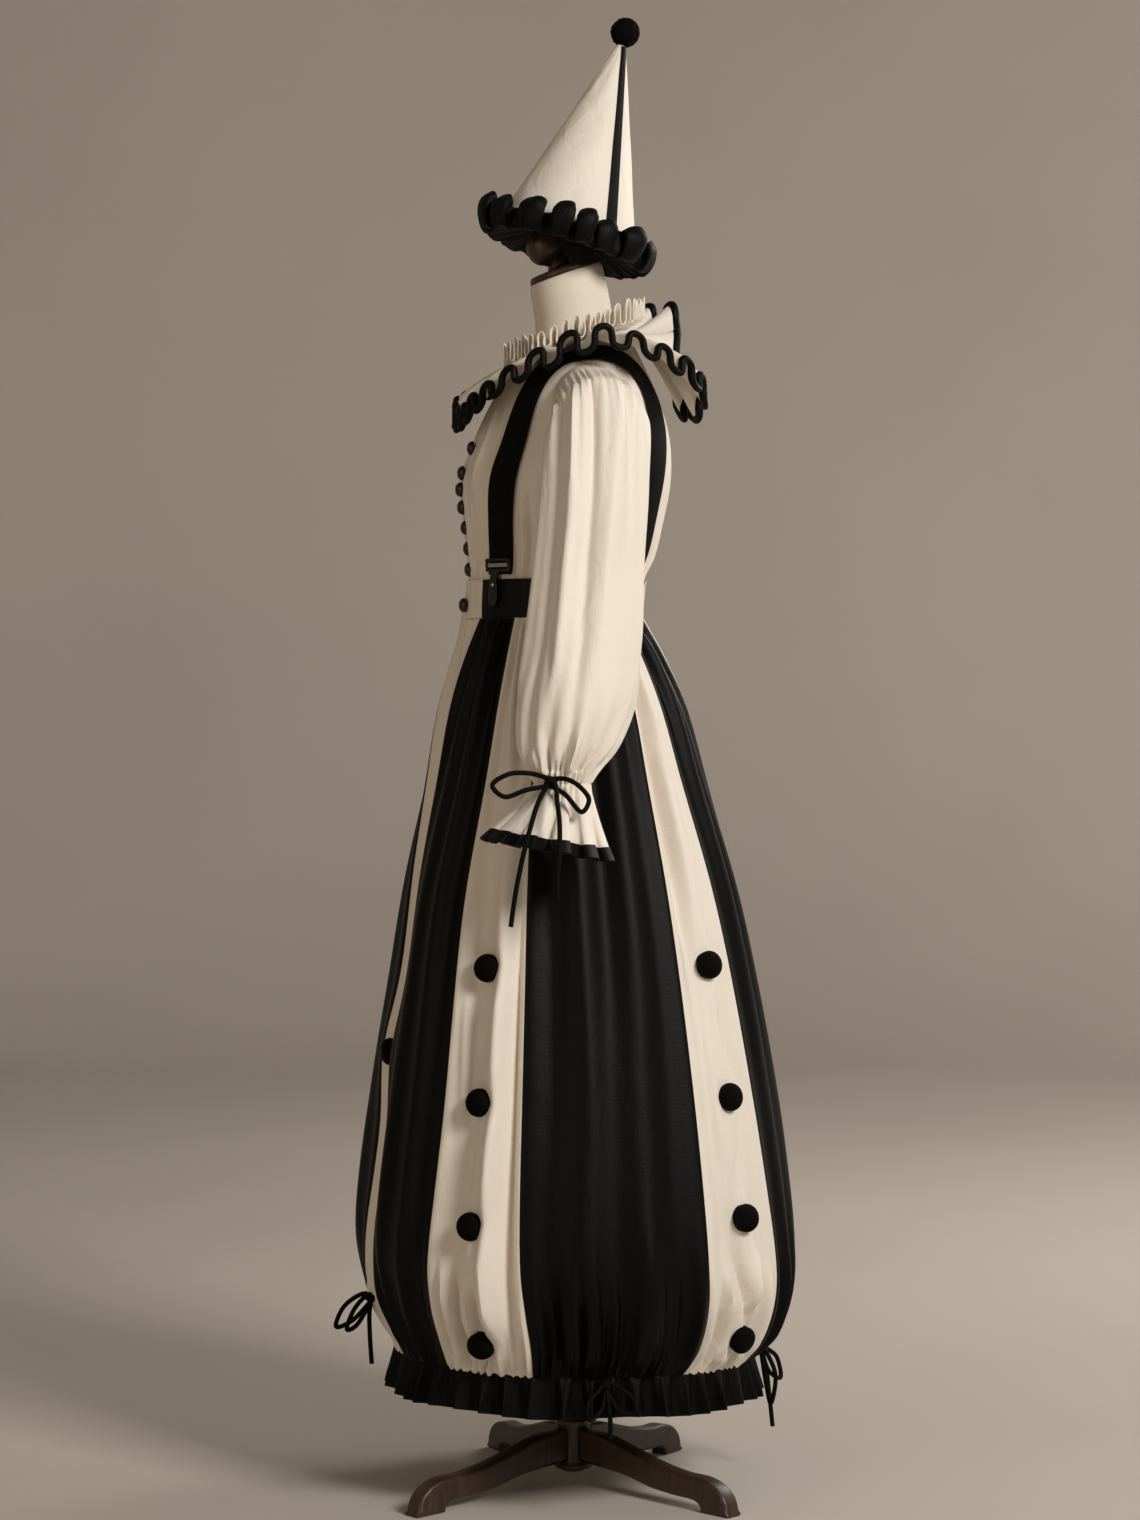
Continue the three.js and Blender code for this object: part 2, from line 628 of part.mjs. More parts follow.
const COLUMNS_PER_GATHER = 2;
const SKIRT_SEAM_RADIUS = 200;
const HALF_PANEL_SEAM = seamTurn(SKIRT_SEAM_RADIUS);
function panelPoint(panel) {
  return (t, z) => {
    const seams = skirtSeams(z);
    const turnWay = Math.sign(panel.to(seams) - panel.from(seams));
    const from = panel.from(seams) + turnWay * HALF_PANEL_SEAM;
    const to = panel.to(seams) - turnWay * HALF_PANEL_SEAM;
    return skirtPoint(mix(from, to, t), z, Math.cos(2 * Math.PI * panel.gathers * t));
  };
}

// Domed pompoms, standing along the surface's own direction
const DOME_SIDES = 6;
const SKIRT_DOME = [[0, -1], [17.5, -1], [14, 11], [0, 17]];
function standing(geometry, point, direction) {
  const placed = geometry.clone();
  placed.applyQuaternion(new THREE.Quaternion().setFromUnitVectors(new THREE.Vector3(0, 0, 1), direction));
  placed.translate(point.x, point.y, point.z);
  return placed;
}
function skirtDot(at, t, z) {
  const point = at(t, z);
  const normal = surfaceNormal(at, t, z, 0.05, 5);
  const outward = normal.dot(new THREE.Vector3(point.x, point.y, 0)) < 0 ? -1 : 1;
  return standing(turned(SKIRT_DOME, DOME_SIDES), point, normal.multiplyScalar(outward));
}

for (const panel of SKIRT_PANELS) {
  const columns = panel.gathers * COLUMNS_PER_GATHER;
  const at = panelPoint(panel);
  const cloth = wall(at, steps(0, 1, columns), SKIRT_LEVELS, CLOTH);
  const dots = panel.dots ? DOT_LEVELS.map((z) => skirtDot(at, panel.dots, z)) : [];
  add(panel.name, dots.length ? joined([cloth, ...dots]) : cloth, panel.finish);
}

const FRONT_DOME_LEVEL = 566;
const FRONT_DOME_CLEAR = 2.8;
const FRONT_DOME = [[0, 0], [17.5, 0], [15, 13], [0, 19]];
const frontDomePoint = skirtPoint(90, FRONT_DOME_LEVEL, 1);
frontDomePoint.y -= CLOTH / 2 + FRONT_DOME_CLEAR;
const frontDome = standing(turned(FRONT_DOME, DOME_SIDES), frontDomePoint, new THREE.Vector3(0, -1, 0));
add("skirt_front_pompom", frontDome, BLACK);

// Hem ruffle: pleated black band under the hem seam
const RUFFLE = { waves: 40, topDepth: 2.5, endDepth: 8, flare: 5 };
const RUFFLE_TOP = HEM_LEVEL - 0.9;
function rufflePoint(angle, z) {
  const drop = (RUFFLE_TOP - z) / (RUFFLE_TOP - RUFFLE_BOTTOM);
  const wave = mix(RUFFLE.topDepth, RUFFLE.endDepth, drop) * Math.cos(rad(angle * RUFFLE.waves));
  return onSection(skirt(HEM_LEVEL), angle, z, wave + RUFFLE.flare * drop);
}
const ruffleRing = ringColumns(RUFFLE.waves, 2);
add("hem_ruffle", wall(rufflePoint, ruffleRing, [RUFFLE_TOP, RUFFLE_BOTTOM], CLOTH, true), BLACK);

// Buttons: domed, one above another down the blouse front, and one on the waistband
const BUTTON_SIDES = 6;
const BUTTON = [[0, 0], [9, 0], [7, 5.5], [0, 7]];
const SHIRT_BUTTON_LEVELS = [1343, 1311, 1290, 1267, 1241, 1214, 1187];
const SHIRT_BUTTON_OUT = [3.8, 2.5, 0.6, 0.6, 1.7, 1.7, 1.9];
function addButton(name, point, out) {
  point.y -= out;
  add(name, standing(turned(BUTTON, BUTTON_SIDES), point, new THREE.Vector3(0, -1, 0)), BLACK);
}
SHIRT_BUTTON_LEVELS.forEach((level, i) => {
  addButton(`blouse_button_${i + 1}`, shirtPoint(90, level), SHIRT_BUTTON_OUT[i]);
});
addButton("waistband_button", waistbandPoint(90, 1141), HEAVY_CLOTH / 2 + LIE);

// Cord bows: two loops and two tails from a knot, through points chosen by hand
const CORD = 6;
const KNOT = [[0, -8], [8, -4], [8, 4], [0, 8]];

function cordTube(points) {
  const curve = new THREE.CatmullRomCurve3(points.map((p) => new THREE.Vector3(...p)), false, "centripetal");
  const ring = steps(0, 360, 8).slice(0, -1);
  const circle = ring.map((a) => new THREE.Vector2(Math.cos(rad(a)) * CORD / 2, Math.sin(rad(a)) * CORD / 2));
  const count = Math.round(curve.getLength() / (3 * CORD));
  const options = { steps: count, extrudePath: curve, bevelEnabled: false };
  return new THREE.ExtrudeGeometry(new THREE.Shape(circle), options);
}

// A bow from its knot, and its loops and tails given from that knot
function bow(loops, tails) {
  const loopTubes = loops.map((points) => cordTube([[0, 0, 4], ...points, [0, 0, -4]]));
  const tailTubes = tails.map((points) => cordTube([[0, 0, 0], ...points]));
  return joined([turned(KNOT, DOME_SIDES), ...loopTubes, ...tailTubes]);
}

// Wrist bows, from a knot on the outer side of the wrist: the right one is the left one turned half round it
const WRIST_KNOT = [312, -91.4, 919];
const WRIST_LOOPS = [
  [[5, -27, 8], [9, -54, 7], [7, -72, -4], [4, -58, -12], [2, -30, -8]],
  [[10, 20, 4], [25, 40, -6], [36, 51, -20], [38, 40, -30], [24, 20, -12]],
];
const WRIST_TAILS = [
  [[14, -22, -2], [36, -46, -14], [52, -66, -44], [56, -70, -85], [54, -68, -125], [54, -66, -162]],
  [[20, 2, -3], [48, -2, -20], [74, -4, -48], [82, -6, -80], [80, -8, -110], [78, -8, -138]],
];
const TURNED_SHIFT = [2.3, WRIST.y - 1.6, 0];
for (const [name, side] of SIDES) {
  const wristBow = bow(WRIST_LOOPS, WRIST_TAILS);
  wristBow.translate(...WRIST_KNOT);
  if (side < 0) wristBow.translate(0, -WRIST.y, 0).rotateZ(Math.PI).translate(...TURNED_SHIFT);
  add(`wrist_bow_${name}`, welded(wristBow), BLACK);
}

// Hem bows, from a knot outside the skirt: out from it, along it and up
const HEM_BOWS = [
  {
    name: "front", angle: 90, radius: 270.4, level: 250,
    loops: [
      [[10, 14, 4], [28, 28, -12], [36, 26, -36], [22, 12, -34]],
      [[12, -12, 2], [34, -22, -16], [44, -18, -40], [26, -8, -32]],
    ],
    tails: [[[4, 6, -18], [4, 10, -50], [2, 12, -84]]],
  },
  ...[["left", 2.5, 244.2], ["right", 177.5, 246.2]].map(([name, angle, radius]) => ({
    name, angle, radius, level: 174,
    loops: [
      [[6, 12, -2], [12, 30, -14], [13, 34, -34], [8, 14, -30]],
      [[7, -10, -6], [14, -24, -20], [15, -24, -40], [8, -8, -32]],
    ],
    tails: [[[6, 2, -22], [10, 4, -46], [9, 4, -66]]],
  })),
  {
    name: "back", angle: -90, radius: 251, level: 165,
    loops: [
      [[12, 14, -4], [28, 24, -18], [32, 20, -44], [14, 8, -34]],
      [[8, -10, -10], [14, -22, -34], [8, -20, -70], [6, -6, -50]],
    ],
    tails: [[[8, 6, -24], [14, 10, -64], [18, 8, -106]]],
  },
];
for (const knot of HEM_BOWS) {
  const hemBow = bow(knot.loops, knot.tails);
  hemBow.translate(knot.radius, 0, knot.level);
  hemBow.rotateZ(-rad(knot.angle));
  hemBow.translate(0, skirt(Math.max(knot.level, HEM_LEVEL)).centreY, 0);
  add(`hem_bow_${knot.name}`, welded(hemBow), BLACK);
}

// Neck cap, ball finial and hat peg: turned wood leaning forward with the neck, joined into one piece
const CAP_PLACE = [0, -10, NECK_TOP + 0.4];
const CAP = [[0, 0], [45, 0], [47, 3], [44, 8], [16, 11], [0, 11]];
const FINIAL_LEAN = -30;
const FINIAL = [[0, 5], [13, 5], [11, 12], [15, 16], [12, 20], [24, 28], [28.5, 44], [22, 61], [0, 70]];

// Hat, leaning back: its base centre, its tip and its brim ruffle
const HAT_LEAN = 16;
const HAT_BASE = [0, 0, 1644];
const HAT = { radius: 82, height: 238, tipRadius: 3, cloth: 2 };
const PEG_BLOCK = { radius: 39.3, height: 116 };
const PEG_ROD = { radius: 8, from: 46 };
const hatAxis = new THREE.Vector3(0, Math.sin(rad(HAT_LEAN)), Math.cos(rad(HAT_LEAN)));
const onHatAxis = (height) => new THREE.Vector3(...HAT_BASE).addScaledVector(hatAxis, height);

function hatPeg() {
  const lean = new THREE.Vector3(0, Math.sin(rad(FINIAL_LEAN)), Math.cos(rad(FINIAL_LEAN)));
  const ball = new THREE.Vector3(...CAP_PLACE).addScaledVector(lean, PEG_ROD.from);
  const block = onHatAxis(PEG_BLOCK.height);
  const along = block.clone().sub(ball);
  const rodOutline = [[0, 0], [PEG_ROD.radius, 0], [PEG_ROD.radius, along.length()], [0, along.length()]];
  const rod = standing(turned(rodOutline, 8), ball, along.clone().normalize());
  const knob = new THREE.SphereGeometry(PEG_BLOCK.radius, 12, 10).rotateX(Math.PI / 2);
  return [rod, standing(knob, block, hatAxis)];
}
add("neck_cap_finial", joined([
  turned(CAP, 18, CAP_PLACE, -NECK_TILT),
  turned(FINIAL, 14, CAP_PLACE, FINIAL_LEAN),
  ...hatPeg(),
]), WALNUT);

const placeHat = (geometry) => {
  geometry.rotateX(-rad(HAT_LEAN));
  geometry.translate(...HAT_BASE);
  return welded(geometry);
};
const hatRadius = (height) => mix(HAT.radius, HAT.tipRadius, height / HAT.height);
function hatPoint(angle, height, out = 0) {
  const half = hatRadius(height) + out;
  return onSection({ centreY: 0, halfX: half, halfY: half }, angle, height);
}
add("hat_cone", placeHat(wall(hatPoint, ringColumns(20, 1), [0, HAT.height], HAT.cloth, true)), CREAM);

const RIBBON = { angle: -26, width: 11, tipWidth: 4, cloth: 1, out: 2.4, heights: [28, 120, 224] };
function ribbonPoint(across, height) {
  const width = mix(RIBBON.width, RIBBON.tipWidth, height / HAT.height);
  const turn = across * width / 2 / rad(hatRadius(height) + RIBBON.out);
  return hatPoint(RIBBON.angle + turn, height, RIBBON.out);
}
const HAT_RUFFLE = { waves: 15, middle: 98.2, depth: 14, from: -20, to: 24 };
for (const [name, side] of SIDES) {
  const ribbon = wall(mirrored(ribbonPoint, side), [-1, 0, 1], RIBBON.heights, RIBBON.cloth);
  add(`hat_ribbon_${name}`, placeHat(ribbon), BLACK);
}

function hatRufflePoint(angle, height) {
  const radius = HAT_RUFFLE.middle + HAT_RUFFLE.depth * Math.cos(rad(angle * HAT_RUFFLE.waves));
  return onSection({ centreY: 0, halfX: radius, halfY: radius }, angle, height);
}
const hatRuffleRing = ringColumns(HAT_RUFFLE.waves, 4);
const hatRuffle = wall(hatRufflePoint, hatRuffleRing, [HAT_RUFFLE.from, HAT_RUFFLE.to], CLOTH, true);
add("hat_ruffle", placeHat(hatRuffle), BLACK);

const HAT_POMPOM = { radius: 19.5, height: 257.3 };
const pompom = new THREE.SphereGeometry(HAT_POMPOM.radius, 10, 8);
pompom.translate(0, 0, HAT_POMPOM.height);
add("hat_pompom", placeHat(pompom), BLACK);

// The origin lies under the middle of everything but the cord bows
const extent = new THREE.Box3();
for (const mesh of costume.children) {
  if (!mesh.name.includes("_bow_")) extent.expandByObject(mesh);
}
costume.position.y = -(extent.min.y + extent.max.y) / 2;

export default costume;
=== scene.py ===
"""Jester costume in black and cream, worn by a dress form on a wooden stand.

Lengths in the tables are millimetres, +Z is up, the front looks toward -Y, the wearer's left is toward +X.
Body angles are degrees from +X, positive toward the front: 90 is centre front and -90 centre back.
"""
import logging
import math
from dataclasses import dataclass, field
from enum import Enum
from typing import Callable, Sequence

import bpy
import numpy as np
from mathutils import Matrix, Vector


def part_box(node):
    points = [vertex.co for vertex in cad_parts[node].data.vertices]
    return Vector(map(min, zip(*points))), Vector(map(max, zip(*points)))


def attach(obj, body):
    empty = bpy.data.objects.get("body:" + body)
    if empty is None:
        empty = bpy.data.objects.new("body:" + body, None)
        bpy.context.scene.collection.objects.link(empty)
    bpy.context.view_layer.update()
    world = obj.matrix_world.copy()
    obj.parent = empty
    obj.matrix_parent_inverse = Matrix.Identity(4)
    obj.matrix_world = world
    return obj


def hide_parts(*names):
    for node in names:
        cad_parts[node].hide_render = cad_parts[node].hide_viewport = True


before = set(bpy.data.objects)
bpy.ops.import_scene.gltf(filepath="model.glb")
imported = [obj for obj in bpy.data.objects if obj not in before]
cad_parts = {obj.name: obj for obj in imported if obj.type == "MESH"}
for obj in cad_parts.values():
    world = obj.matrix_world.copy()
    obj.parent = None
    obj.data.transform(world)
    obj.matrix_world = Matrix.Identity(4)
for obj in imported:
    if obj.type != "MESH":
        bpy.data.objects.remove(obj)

log = logging.getLogger("costume")

MM = 0.001
CLOTH = 1.6
HEAVY_CLOTH = 2.4
NECK_LEVEL = 1474.0
NECK_TILT = math.tan(math.radians(19))
HEM_LEVEL = 181.0
WAISTBAND_BOTTOM = 1123.0
WAISTBAND_TOP = 1172.0
# Radii that turn body angles to lengths: of the blouse, and of the skirt at its waist, widest place and hem
BODY_RADIUS = 130.0
WAIST_RADIUS = 134.0
WIDEST_RADIUS = 284.0
HEM_RADIUS = 235.0
# Half the gap at a seam of the blouse or the waistband, as a body angle
SEAM_HALF_GAP = math.degrees(0.15 / BODY_RADIUS)

Surface = Callable[[np.ndarray, np.ndarray], np.ndarray]


# Numbers

class Table:
    """A smooth curve through the rows of a table, whose first column says where each row stands."""

    def __init__(self, rows: Sequence[Sequence[float]]) -> None:
        """Keep the rows and the slope at each.

        Args:
            rows: The table, with rising keys in its first column.
        """
        data = np.array(rows, float)
        self.keys = data[:, 0]
        self.values = data[:, 1:]
        ahead = np.minimum(np.arange(len(data)) + 1, len(data) - 1)
        behind = np.maximum(np.arange(len(data)) - 1, 0)
        rise = self.values[ahead] - self.values[behind]
        self.slopes = rise / (self.keys[ahead] - self.keys[behind])[:, None]

    def __call__(self, key: np.ndarray) -> np.ndarray:
        """Read the curve.

        Args:
            key: Where to read it, of any shape.

        Returns:
            The columns at each key, along a last axis.
        """
        key = np.asarray(key, float)
        k = np.clip(np.searchsorted(self.keys, key, side="left") - 1, 0, len(self.keys) - 2)
        span = self.keys[k + 1] - self.keys[k]
        t = ((key - self.keys[k]) / span)[..., None]
        span = span[..., None]
        rise = self.values[k + 1] - self.values[k]
        bend = (1 - t) * (self.slopes[k] * span - rise) - t * (self.slopes[k + 1] * span - rise)
        return self.values[k] + rise * t + t * (1 - t) * bend


def ease(t: np.ndarray) -> np.ndarray:
    """Return a smooth step from 0 to 1."""
    t = np.clip(t, 0, 1)
    return t * t * (3 - 2 * t)


def bell(distance: np.ndarray, width: float) -> np.ndarray:
    """Return a rounded bump, 1 at its middle."""
    return np.exp(-((distance / width) ** 2))


def mix(a: np.ndarray, b: np.ndarray, t: np.ndarray) -> np.ndarray:
    """Return the value between a and b at t."""
    return a + (b - a) * t


def cosd(angle: np.ndarray) -> np.ndarray:
    """Return the cosine of an angle in degrees."""
    return np.cos(np.radians(angle))


def sind(angle: np.ndarray) -> np.ndarray:
    """Return the sine of an angle in degrees."""
    return np.sin(np.radians(angle))


def wrapped(angle: np.ndarray) -> np.ndarray:
    """Return an angle as one from -180 to 180 degrees."""
    return angle - 360 * np.round(angle / 360)


def stacked(*parts: np.ndarray) -> np.ndarray:
    """Return points from their x, y and z."""
    return np.stack(np.broadcast_arrays(*parts), axis=-1)


def puckers(along: np.ndarray, spacing: float, seed: int) -> np.ndarray:
    """Uneven gathers, as thread pulls them: folds of changing width and height.

    Args:
        along: Distance along the gathered seam, in the units of spacing.
        spacing: Mean distance between folds.
        seed: Which pattern.

    Returns:
        Height from about -1 to 1.
    """
    rng = np.random.default_rng(seed)
    a, b, c, d = rng.uniform(0, 2 * np.pi, 4)
    turn = 2 * np.pi * along / spacing
    phase = turn + 1.15 * np.sin(turn / 3.7 + a) + 0.8 * np.sin(turn / 7.9 + b)
    height = 0.72 + 0.34 * np.sin(turn / 5.3 + c)
    return height * np.sin(phase) + 0.25 * np.sin(2.13 * phase + d)


@dataclass(frozen=True)
class Fold:
    """A fold laid between two places: a soft ridge, or a trough where depth is below 0.

    Places are (across, along) in the cloth's own coordinates, near and far are its widths on the two sides.
    """

    start: tuple[float, float]
    end: tuple[float, float]
    depth: float
    near: float
    far: float = 0.0
    fade_in: float = 0.35
    fade_out: float = 0.35
    bow: float = 0.0

    def height(self, across: np.ndarray, along: np.ndarray, unit: np.ndarray) -> np.ndarray:
        """Height of the fold over the cloth.

        Args:
            across: Coordinate across the cloth.
            along: Coordinate along the cloth.
            unit: Millimetres in one unit of across.

        Returns:
            Height in millimetres.
        """
        share = (along - self.start[1]) / (self.end[1] - self.start[1])
        middle = mix(self.start[0], self.end[0], share) + self.bow * 4 * share * (1 - share)
        aside = (across - middle) * unit
        width = np.where(aside < 0, self.near, self.far or self.near)
        rise = ease(share / self.fade_in) if self.fade_in else (share >= 0).astype(float)
        fall = ease((1 - share) / self.fade_out) if self.fade_out else (share <= 1).astype(float)
        return self.depth * bell(aside, width) * rise * fall


def folded(folds: Sequence[Fold], across: np.ndarray, along: np.ndarray, unit: np.ndarray) -> np.ndarray:
    """Add up folds.

    Args:
        folds: The folds.
        across: Coordinate across the cloth.
        along: Coordinate along the cloth.
        unit: Millimetres in one unit of across.

    Returns:
        Their height in millimetres.
    """
    total = np.zeros(np.broadcast(across, along).shape)
    for fold in folds:
        total = total + fold.height(across, along, unit)
    return total


# Meshes

def grid_normals(grid: np.ndarray, closed: bool) -> np.ndarray:
    """Directions square to a grid of points.

    Args:
        grid: Rows x columns x 3 points.
        closed: Whether the last column joins the first.

    Returns:
        Unit normals of the same shape.
    """
    if closed:
        across = np.roll(grid, -1, 1) - np.roll(grid, 1, 1)
    else:
        across = np.gradient(grid, axis=1)
    down = np.gradient(grid, axis=0)
    normal = np.cross(across, down)
    return normal / np.maximum(np.linalg.norm(normal, axis=-1, keepdims=True), 1e-9)


def grid_faces(rows: int, columns: int, closed: bool) -> np.ndarray:
    """Quads of a grid.

    Args:
        rows: Rows of points.
        columns: Columns of points.
        closed: Whether the last column joins the first.

    Returns:
        Indices, four to a quad.
    """
    count = columns if closed else columns - 1
    r, c = np.meshgrid(np.arange(rows - 1), np.arange(count), indexing="ij")
    n = (c + 1) % columns
    low, high = r * columns, (r + 1) * columns
    return np.stack([low + c, low + n, high + n, high + c], -1).reshape(-1, 4)


def ring_faces(rows: int, columns: int) -> list:
    """Quads of a grid that closes both ways.

    Args:
        rows: Rows of points.
        columns: Columns of points.

    Returns:
        Indices of each quad.
    """
    last = (rows - 1) * columns
    closing = [(last + k, last + (k + 1) % columns, (k + 1) % columns, k) for k in range(columns)]
    return grid_faces(rows, columns, True).tolist() + closing


def capped(grid: np.ndarray) -> tuple[np.ndarray, list]:
    """Close a tube at both ends.

    Args:
        grid: Rings x points x 3, from the lowest ring up.

    Returns:
        Points and faces.
    """
    rings, count = grid.shape[:2]
    low, last = rings * count, (rings - 1) * count
    faces = grid_faces(rings, count, True).tolist()
    faces += [(low, (k + 1) % count, k) for k in range(count)]
    faces += [(low + 1, last + k, last + (k + 1) % count) for k in range(count)]
    return np.concatenate([grid.reshape(-1, 3), [grid[0].mean(0), grid[-1].mean(0)]]), faces


def new_mesh(name: str, points: np.ndarray, faces: Sequence, sharp: float = 45.0) -> bpy.types.Object:
    """Make a smooth-shaded mesh object.

    Args:
        name: Its name.
        points: Corner points in millimetres.
        faces: Corner indices of each face.
        sharp: Edges that turn more than this many degrees stay sharp.

    Returns:
        The object, linked into the scene.
    """
    mesh = bpy.data.meshes.new(name)
    rows = faces.tolist() if isinstance(faces, np.ndarray) else faces
    mesh.from_pydata((np.asarray(points) * MM).tolist(), [], rows)
    mesh.polygons.foreach_set("use_smooth", np.ones(len(mesh.polygons), bool))
    mesh.set_sharp_from_angle(angle=math.radians(sharp))
    piece = bpy.data.objects.new(name, mesh)
    bpy.context.scene.collection.objects.link(piece)
    return piece


def path_length(points: np.ndarray, axis: int) -> np.ndarray:
    """Return the lengths of the lines that run along one axis of a grid."""
    return np.linalg.norm(np.diff(points, axis=axis), axis=-1).sum(axis)


def grid_area(grid: np.ndarray) -> float:
    """Area of a grid's quads.

    Args:
        grid: Rows x columns x 3 points.

    Returns:
        The area in square millimetres.
    """
    one = grid[1:, 1:] - grid[:-1, :-1]
    two = grid[1:, :-1] - grid[:-1, 1:]
    return float(np.linalg.norm(np.cross(one, two), axis=-1).sum() / 2)


@dataclass
class Cloth:
    """A thin cloth with two faces and a rim, built from a grid of points on its middle surface.

    holes marks the points that lie in an opening, and faces with such a corner are left out.
    """

    name: str
    grid: np.ndarray
    closed: bool = False
    thickness: float = CLOTH
    holes: np.ndarray | None = None

    def build(self) -> bpy.types.Object:
        """Make its mesh, with lengths in metres along the cloth as its UVs.

        Returns:
            The piece.
        """
        grid = self.grid
        rows, columns = grid.shape[:2]
        normal = grid_normals(grid, self.closed)
        if (normal * (grid - grid.mean((0, 1)))).sum() < 0:
            normal = -normal
        half = normal * self.thickness / 2
        points = np.concatenate([(grid + half).reshape(-1, 3), (grid - half).reshape(-1, 3)])
        quads = grid_faces(rows, columns, self.closed)
        if self.holes is not None:
            quads = quads[~self.holes.reshape(-1)[quads].any(1)]
        corner = points[quads]
        facing = np.cross(corner[:, 2] - corner[:, 0], corner[:, 3] - corner[:, 1])
        if (facing * half.reshape(-1, 3)[quads[:, 0]]).sum() < 0:
            quads = quads[:, ::-1]
        faces = np.concatenate([quads, quads[:, ::-1] + rows * columns, self._rims(quads, rows * columns)])
        used, inverse = np.unique(faces, return_inverse=True)
        piece = new_mesh(self.name, points[used], inverse.reshape(faces.shape))
        self._add_lengths(piece, faces)
        return piece

    def _rims(self, quads: np.ndarray, back: int) -> np.ndarray:
        """Quads that join the two faces along every open edge.

        Args:
            quads: The outer face's quads.
            back: How far on in the points the inner face's points are.

        Returns:
            The rim's quads.
        """
        edges = np.concatenate([quads[:, [k, (k + 1) % 4]] for k in range(4)])
        key = np.sort(edges, axis=1)
        _, place, count = np.unique(key, axis=0, return_index=True, return_counts=True)
        open_edges = edges[place[count == 1]]
        a, b = open_edges[:, 0], open_edges[:, 1]
        return np.stack([b, a, a + back, b + back], -1)

    def _add_lengths(self, piece: bpy.types.Object, faces: np.ndarray) -> None:
        """Give the mesh UVs that are lengths along the cloth.

        Args:
            piece: The piece.
            faces: Its quads.
        """
        columns = self.grid.shape[1]
        across = path_length(self.grid, 1).mean() / (columns - 1) * np.arange(columns)
        down = np.concatenate([[0], np.linalg.norm(np.diff(self.grid, axis=0), axis=-1).mean(1).cumsum()])
        lengths = stacked(across[None, :], down[:, None]).reshape(-1, 2) * MM
        lengths = np.concatenate([lengths, lengths])
        corners = lengths[faces].copy()
        if self.closed:
            width = across[-1] * MM
            jump = corners[..., 0].max(1) - corners[..., 0].min(1) > width / 2
            whole = width * columns / (columns - 1)
            corners[jump, :, 0] = np.where(corners[jump, :, 0] < width / 2, whole, corners[jump, :, 0])
        layer = piece.data.uv_layers.new(name="lengths")
        layer.data.foreach_set("uv", corners.reshape(-1))

    def cut(self) -> tuple[tuple[float, float], float]:
        """Size of the cloth laid flat.

        Returns:
            Its greatest width and length, and its area, in metres and square metres.
        """
        ring = np.concatenate([self.grid, self.grid[:, :1]], 1) if self.closed else self.grid
        width = path_length(ring, 1).max() * MM
        length = path_length(self.grid, 0).max() * MM
        return (float(width), float(length)), grid_area(ring) * MM * MM


# Finishes

def linear(hex_colour: str) -> tuple[float, float, float, float]:
    """Return an sRGB hex colour as linear RGBA."""
    parts = [int(hex_colour[i:i + 2], 16) / 255 for i in (1, 3, 5)]
    return (*[c / 12.92 if c <= 0.04045 else ((c + 0.055) / 1.055) ** 2.4 for c in parts], 1.0)


def add_node(tree: bpy.types.NodeTree, kind: str, inputs: dict | None = None,
             **settings: object) -> bpy.types.Node:
    """Add one node with its settings and links.

    Args:
        tree: The node tree.
        kind: The node's type name, without ShaderNode.
        inputs: For each input, by name or place, a value, or the socket that feeds it.
        settings: The node's own settings.

    Returns:
        The node.
    """
    node = tree.nodes.new("ShaderNode" + kind)
    for key, value in settings.items():
        setattr(node, key, value)
    for key, value in (inputs or {}).items():
        if isinstance(value, bpy.types.NodeSocket):
            tree.links.new(value, node.inputs[key])
        else:
            node.inputs[key].default_value = value
    return node


def begin_material(name: str) -> tuple[bpy.types.Material, bpy.types.NodeTree, dict]:
    """Start a material.

    Args:
        name: Its name.

    Returns:
        The material, its node tree, and the sockets of its texture coordinates by name.
    """
    material = bpy.data.materials.new(name)
    material.use_nodes = True
    tree = material.node_tree
    tree.nodes.clear()
    return material, tree, dict(add_node(tree, "TexCoord").outputs.items())


class Thread(Enum):
    """How a cloth's threads lie."""

    PLAIN = "plain weave"
    RIBBED = "ribbed weave"
    FELT = "matted pile"


